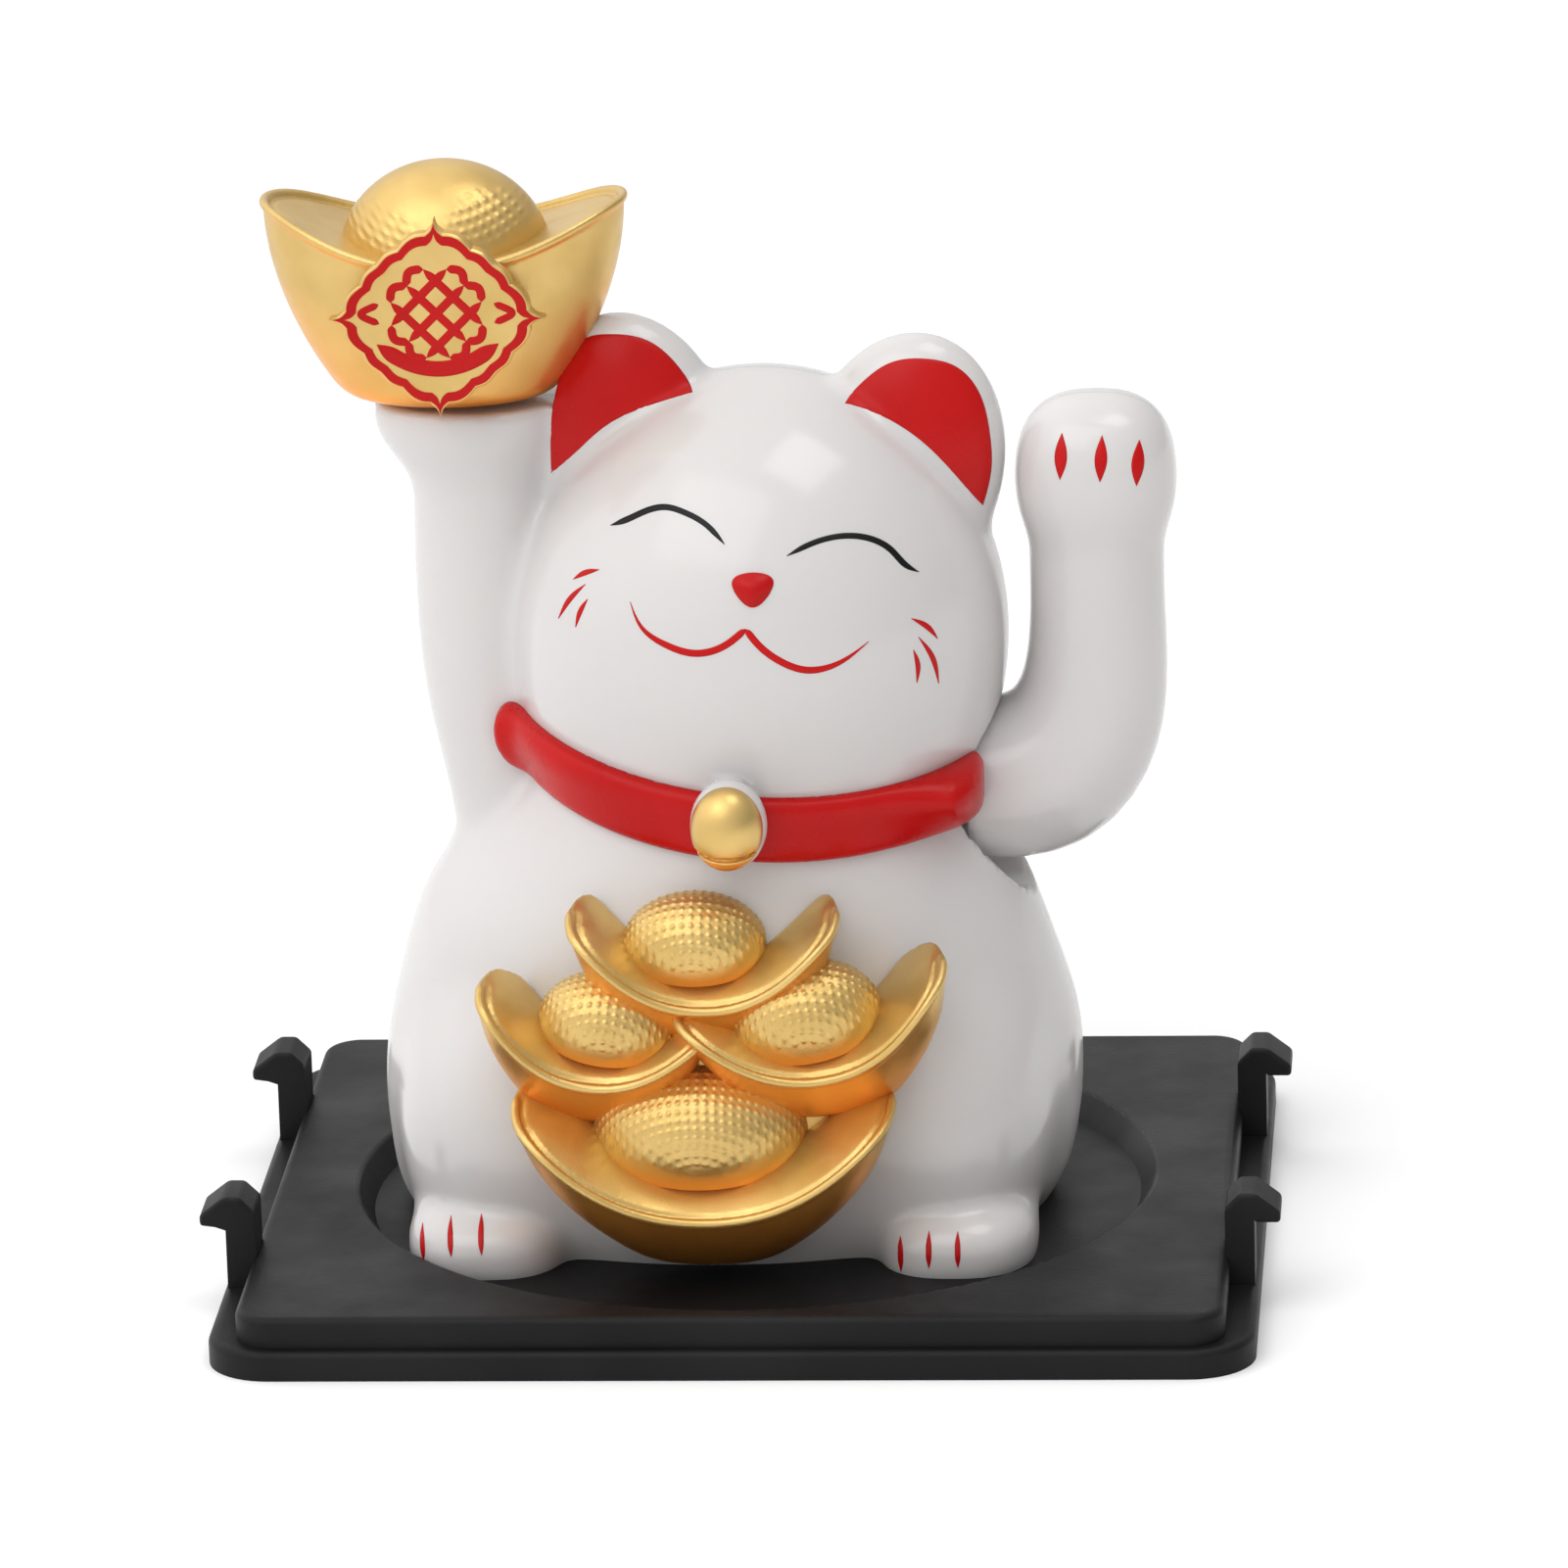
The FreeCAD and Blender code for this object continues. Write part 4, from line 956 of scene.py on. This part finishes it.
def build_face():
    for i, points in enumerate(EYES):
        line_of_paint(f"eye_{i}", cat, points, EYE_WIDTH, (0.14, 0.14), BLACK, "black_plastic")
    for i, (points, thin) in enumerate(MOUTH):
        red_line(f"mouth_{i}", cat, points, MOUTH_WIDTH, thin)
    for i, (start, end, bow) in enumerate(WHISKERS):
        red_line(f"whisker_{i}", cat, bowed(start, end, bow), WHISKER_WIDTH, (0.5, 0.5))
    red_patch("nose", closed_curve(NOSE, 80), NOSE_CENTRE, NOSE_RISE)
    for i, (outer, lower, centre) in enumerate(EAR_LININGS):
        outline = np.concatenate([curve_through(outer, 90)[:-1], curve_through(lower, 60)[:-1]])
        red_patch(f"ear_lining_{i}", outline, centre)
    for i, points in enumerate(FOOT_CLAWS):
        red_line(f"foot_claw_{i}", cat, points, FOOT_CLAW_WIDTH, (0.4, 0.4))
    for i, points in enumerate(WAVING_CLAWS):
        red_line(f"waving_claw_{i}", arm_outside, points, WAVING_CLAW_WIDTH, (0.5, 0.5), ARM)


build_face()

# -------- the plaque on the held ingot
PLAQUE_X, PLAQUE_Z, PLAQUE_Y = -17.2, 61.0, -7.6
PLAQUE_HALF = (6.6, 6.2)
# A quarter of the outline, in shares of the half sizes: a spike's flank, a lobe and the cusp after it.
SPIKE = ((1.0, 0.0), (0.915, 0.028), (0.86, 0.085))
LOBE = ((0.86, 0.085), (0.85, 0.17), (0.79, 0.27), (0.70, 0.345))
CUSP = ((0.70, 0.345), (0.655, 0.45), (0.56, 0.53))
CUSP_FLOOR = (0.545, 0.545)
# The plate's outline at each depth: its share of the full size and its Y.
PLATE_STEPS = ((0.5, -4.2), (0.86, -6.2), (0.985, -6.4), (1.0, -6.6), (1.0, PLAQUE_Y + 0.12),
               (0.98, PLAQUE_Y))
BORDER_INNER, BORDER_OUTER = 0.86, 0.965
KNOT_LIFT, KNOT_REACH, KNOT_GAP, KNOT_LOOP, KNOT_WIDTH = 0.35, 2.45, 1.45, 0.5, 0.5
LEAF = ((3.5, -0.6), (4.1, -0.35), (4.6, 0.0), (4.1, 0.35), (3.5, 0.6))
LEAF_WIDTH = 0.42
RIBBON = ((-3.7, -1.9), (-2.0, -3.0), (0.0, -3.45), (2.0, -3.0), (3.7, -1.9))
RIBBON_WIDTH = 0.95


def plaque_outline():
    """The outline in shares of the half sizes: four spikes with two lobes between each pair."""
    flank = np.concatenate([curve_through(SPIKE, 10)[:-1], curve_through(LOBE, 14)[:-1],
                            curve_through(CUSP, 8)[:-1]])
    quarter = np.concatenate([flank, [CUSP_FLOOR], flank[::-1, ::-1]])
    ring = []
    for x_sign, z_sign, back in ((1, 1, False), (-1, 1, True), (-1, -1, False), (1, -1, True)):
        part = quarter * (x_sign, z_sign)
        ring.append((part[::-1] if back else part)[:-1])
    return np.concatenate(ring)


def on_plaque(shape, share, y):
    """The outline at a share of its size, in the plane at y."""
    return np.stack([PLAQUE_X + PLAQUE_HALF[0] * shape[:, 0] * share, np.full(len(shape), y),
                     PLAQUE_Z + PLAQUE_HALF[1] * shape[:, 1] * share], 1)


def plaque_face(p):
    """A field whose surface is the plaque's front plane."""
    return PLAQUE_Y - p[:, 1]


def looped(name, rings, material):
    """A closed solid through rings that come back to the first one."""
    count, length = rings.shape[:2]
    faces = band_faces(count, length, count)
    return outward(mesh_object(name, rings.reshape(-1, 3), faces, material))


def turned(angle):
    """A matrix that turns rows of (x, z) points by an angle."""
    return np.array([[math.cos(angle), math.sin(angle)], [-math.sin(angle), math.cos(angle)]])


def knot_lines():
    """A woven knot of three lines each way, joined by loops, with a leaf on each side, over a ribbon."""
    lines = []
    askew = turned(TAU / 8)
    for i in (-1, 0, 1):
        across = i * KNOT_GAP
        lines.append((np.array([(-KNOT_REACH, across), (KNOT_REACH, across)]) @ askew, KNOT_WIDTH))
        lines.append((np.array([(across, -KNOT_REACH), (across, KNOT_REACH)]) @ askew, KNOT_WIDTH))
    for quarter in range(4):
        spun = turned(quarter * TAU / 4)
        for low, high in ((-KNOT_GAP, 0), (0, KNOT_GAP)):
            middle = (KNOT_REACH + KNOT_LOOP, (low + high) / 2)
            loop = np.array([(KNOT_REACH, low), middle, (KNOT_REACH, high)])
            lines.append((loop @ spun @ askew, KNOT_WIDTH))
        if quarter in (0, 2):
            lines.append((np.array(LEAF) @ spun, LEAF_WIDTH))
    lines.append((np.array(RIBBON), RIBBON_WIDTH))
    shift = np.array([PLAQUE_X, PLAQUE_Z + KNOT_LIFT])
    return [(line + shift, width) for line, width in lines]


def build_plaque():
    shape = plaque_outline()
    plate = lofted("plaque", [on_plaque(shape, share, y) for share, y in PLATE_STEPS], GOLD)
    plate.data.shade_flat()
    hand_over(plate, FIGURE, "gold_plastic")
    back, front = PLAQUE_Y + SUNK, PLAQUE_Y - PAINT
    edge = [on_plaque(shape, BORDER_INNER, back), on_plaque(shape, BORDER_OUTER, back),
            on_plaque(shape, BORDER_OUTER, front), on_plaque(shape, BORDER_INNER, front)]
    border = looped("plaque_border", np.stack(edge, 1), RED)
    border.data.shade_flat()
    hand_over(border, FIGURE, "red_plastic")
    for i, (points, width) in enumerate(knot_lines()):
        red_line(f"plaque_knot_{i}", plaque_face, points, width, (0.15, 0.15))


build_plaque()

# -------- the tray, with softened hooks
# The heads' height, the radius of their edges, and the angle in radians above which an edge is sharp.
HOOK_HEAD_Z, HOOK_EDGE, SHARP = 5.0, 0.24, 0.5


def build_tray():
    """The CAD tray with the sharp edges of its four snap hooks' heads rounded."""
    tray = frame["nodes"]["display_tray"].copy()
    tray.data = tray.data.copy()
    tray.name = tray.data.name = "tray"
    bpy.context.scene.collection.objects.link(tray)

    def soften(work):
        bmesh.ops.remove_doubles(work, verts=work.verts, dist=1e-6)
        bmesh.ops.dissolve_limit(work, angle_limit=math.radians(2), verts=work.verts, edges=work.edges,
                                 delimit=set())
        heads = [edge for edge in work.edges
                 if min(v.co.z for v in edge.verts) > HOOK_HEAD_Z * MM and edge.calc_face_angle() > SHARP]
        bmesh.ops.bevel(work, geom=heads, offset=HOOK_EDGE * MM, offset_type="OFFSET", segments=3,
                        profile=0.5, affect="EDGES", clamp_overlap=True)

    edit(tray, soften)
    tray.data.materials.clear()
    tray.data.materials.append(TRAY)
    hand_over(tray, FIGURE, "black_plastic", "display_tray")


build_tray()

# -------- finishes of the pieces kept from the CAD
# Each slot inside the figure: the nodes that have it, colour, roughness, and metallic and bump if set.
INNER_FINISHES = {
    "foam": (("adhesive_pad",), (0.72, 0.72, 0.70), 0.9, 0.0, 3e-5),
    "natural_nylon": (("arm_hub", "pendulum_lever", "pivot_yoke"), (0.80, 0.78, 0.70), 0.42),
    "steel": (("pivot_shaft", "shaft_clip"), (0.60, 0.60, 0.61), 0.28, 1.0),
    "zinc_steel": (("cover_screws", "yoke_screws", "board_screws"), (0.66, 0.67, 0.68), 0.36, 1.0),
    "brass": (("pivot_bush_left", "pivot_bush_right"), (0.72, 0.53, 0.24), 0.3, 1.0),
    "magnet": (("pendulum_magnet",), (0.30, 0.30, 0.32), 0.35, 0.9),
    "board": (("circuit_board",), (0.03, 0.22, 0.10), 0.4),
    "copper_winding": (("coil_winding",), (0.70, 0.28, 0.12), 0.32, 0.9, 2e-5),
    "black_resin": (("drive_chip",), (0.015, 0.015, 0.015), 0.3),
    "capacitor_can": (("storage_capacitor",), (0.05, 0.07, 0.16), 0.35),
    "solar_cell": (("solar_cell",), (0.03, 0.02, 0.05), 0.18),
    "black_rubber": (("cell_gasket",), (0.03, 0.03, 0.03), 0.8),
    "red_wire": (("solar_lead_red",), (0.55, 0.02, 0.02), 0.45),
    "black_wire": (("solar_lead_black",), (0.02, 0.02, 0.02), 0.45),
}


def finish_node(node, material):
    """Gives a piece that is shown as the CAD made it a material."""
    piece = frame["nodes"][node]
    piece.data.materials.clear()
    piece.data.materials.append(material)


finish_node("bottom_cover", WHITE)
finish_node("coil_bobbin", plain("black_moulding", (0.02, 0.02, 0.022), 0.45))
for slot, (nodes, *finish) in INNER_FINISHES.items():
    material = plain(slot, *finish)
    for node in nodes:
        finish_node(node, material)

# -------- camera, lights and floor
CAMERA_PLACE = (0.05113, -0.6151, 0.22033)
CAMERA_YAW, CAMERA_PITCH, CAMERA_ROLL = -4.53, 17.22, -1.72
LENS_MM, SENSOR_MM = 239.7, 36.0
FLOOR_HALF = 3000
# The studio's light along an axis: the axis, where the change starts, and the strength there and at 1.
SKY_SHADES = (("X", -1.0, 1.6, 0.36), ("Z", 0.0, 0.7, 1.3))


def make_camera():
    """The camera in front of the figure, above it and a little to the waving arm's side."""
    yaw, pitch, roll = (math.radians(a) for a in (CAMERA_YAW, CAMERA_PITCH, CAMERA_ROLL))
    forward = Vector((math.sin(yaw) * math.cos(pitch), math.cos(yaw) * math.cos(pitch), -math.sin(pitch)))
    right = Vector((math.cos(yaw), -math.sin(yaw), 0))
    up = right.cross(forward)
    turned_right = math.cos(roll) * right + math.sin(roll) * up
    turned_up = -math.sin(roll) * right + math.cos(roll) * up
    data = bpy.data.cameras.new("camera")
    data.lens, data.sensor_width = LENS_MM, SENSOR_MM
    camera = bpy.data.objects.new("camera", data)
    axes = Matrix((turned_right, turned_up, -forward)).transposed()
    camera.matrix_world = Matrix.Translation(CAMERA_PLACE) @ axes.to_4x4()
    bpy.context.scene.collection.objects.link(camera)
    bpy.context.scene.camera = camera


def soft_light(name, place, target, size, watts):
    """A rectangular area light that faces its target."""
    data = bpy.data.lights.new(name, "AREA")
    data.shape, data.size, data.size_y, data.energy = "RECTANGLE", size[0], size[1], watts
    lamp = bpy.data.objects.new(name, data)
    lamp.location = place
    lamp.rotation_mode = "QUATERNION"
    lamp.rotation_quaternion = (Vector(target) - Vector(place)).to_track_quat("-Z", "Y")
    bpy.context.scene.collection.objects.link(lamp)


def make_sky():
    """A white studio, brighter on the left and overhead."""
    world = bpy.data.worlds.new("studio")
    world.use_nodes = True
    split = add(world, "ShaderNodeSeparateXYZ")
    wire(world, add(world, "ShaderNodeTexCoord"), "Generated", split, "Vector")
    both = add(world, "ShaderNodeMath")
    both.operation = "MULTIPLY"
    for i, (axis, low, low_strength, high_strength) in enumerate(SKY_SHADES):
        shade = add(world, "ShaderNodeMapRange", From_Min=low, From_Max=1.0,
                    To_Min=low_strength, To_Max=high_strength)
        wire(world, split, axis, shade, "Value")
        wire(world, shade, "Result", both, i)
    background = world.node_tree.nodes["Background"]
    background.inputs["Color"].default_value = (1, 1, 1, 1)
    wire(world, both, "Value", background, "Strength")
    bpy.context.scene.world = world


def make_stage():
    """The floor, the studio's light and two lamps."""
    corners = [(x * FLOOR_HALF, y * FLOOR_HALF, 0) for x, y in ((-1, -1), (1, -1), (1, 1), (-1, 1))]
    paper = plain("pale_floor", (0.97, 0.97, 0.97), 0.7, scale=3)
    mesh_object("floor", corners, [(0, 1, 2, 3)], paper)
    make_sky()
    soft_light("key", (-0.20, -0.36, 0.50), (0, 0, 0.03), (0.50, 0.40), 0.8)
    soft_light("window", (0.12, -0.05, 0.42), (0, 0, 0.05), (0.20, 0.16), 0.25)
    bpy.context.scene.view_settings.view_transform = "Standard"


make_camera()
make_stage()
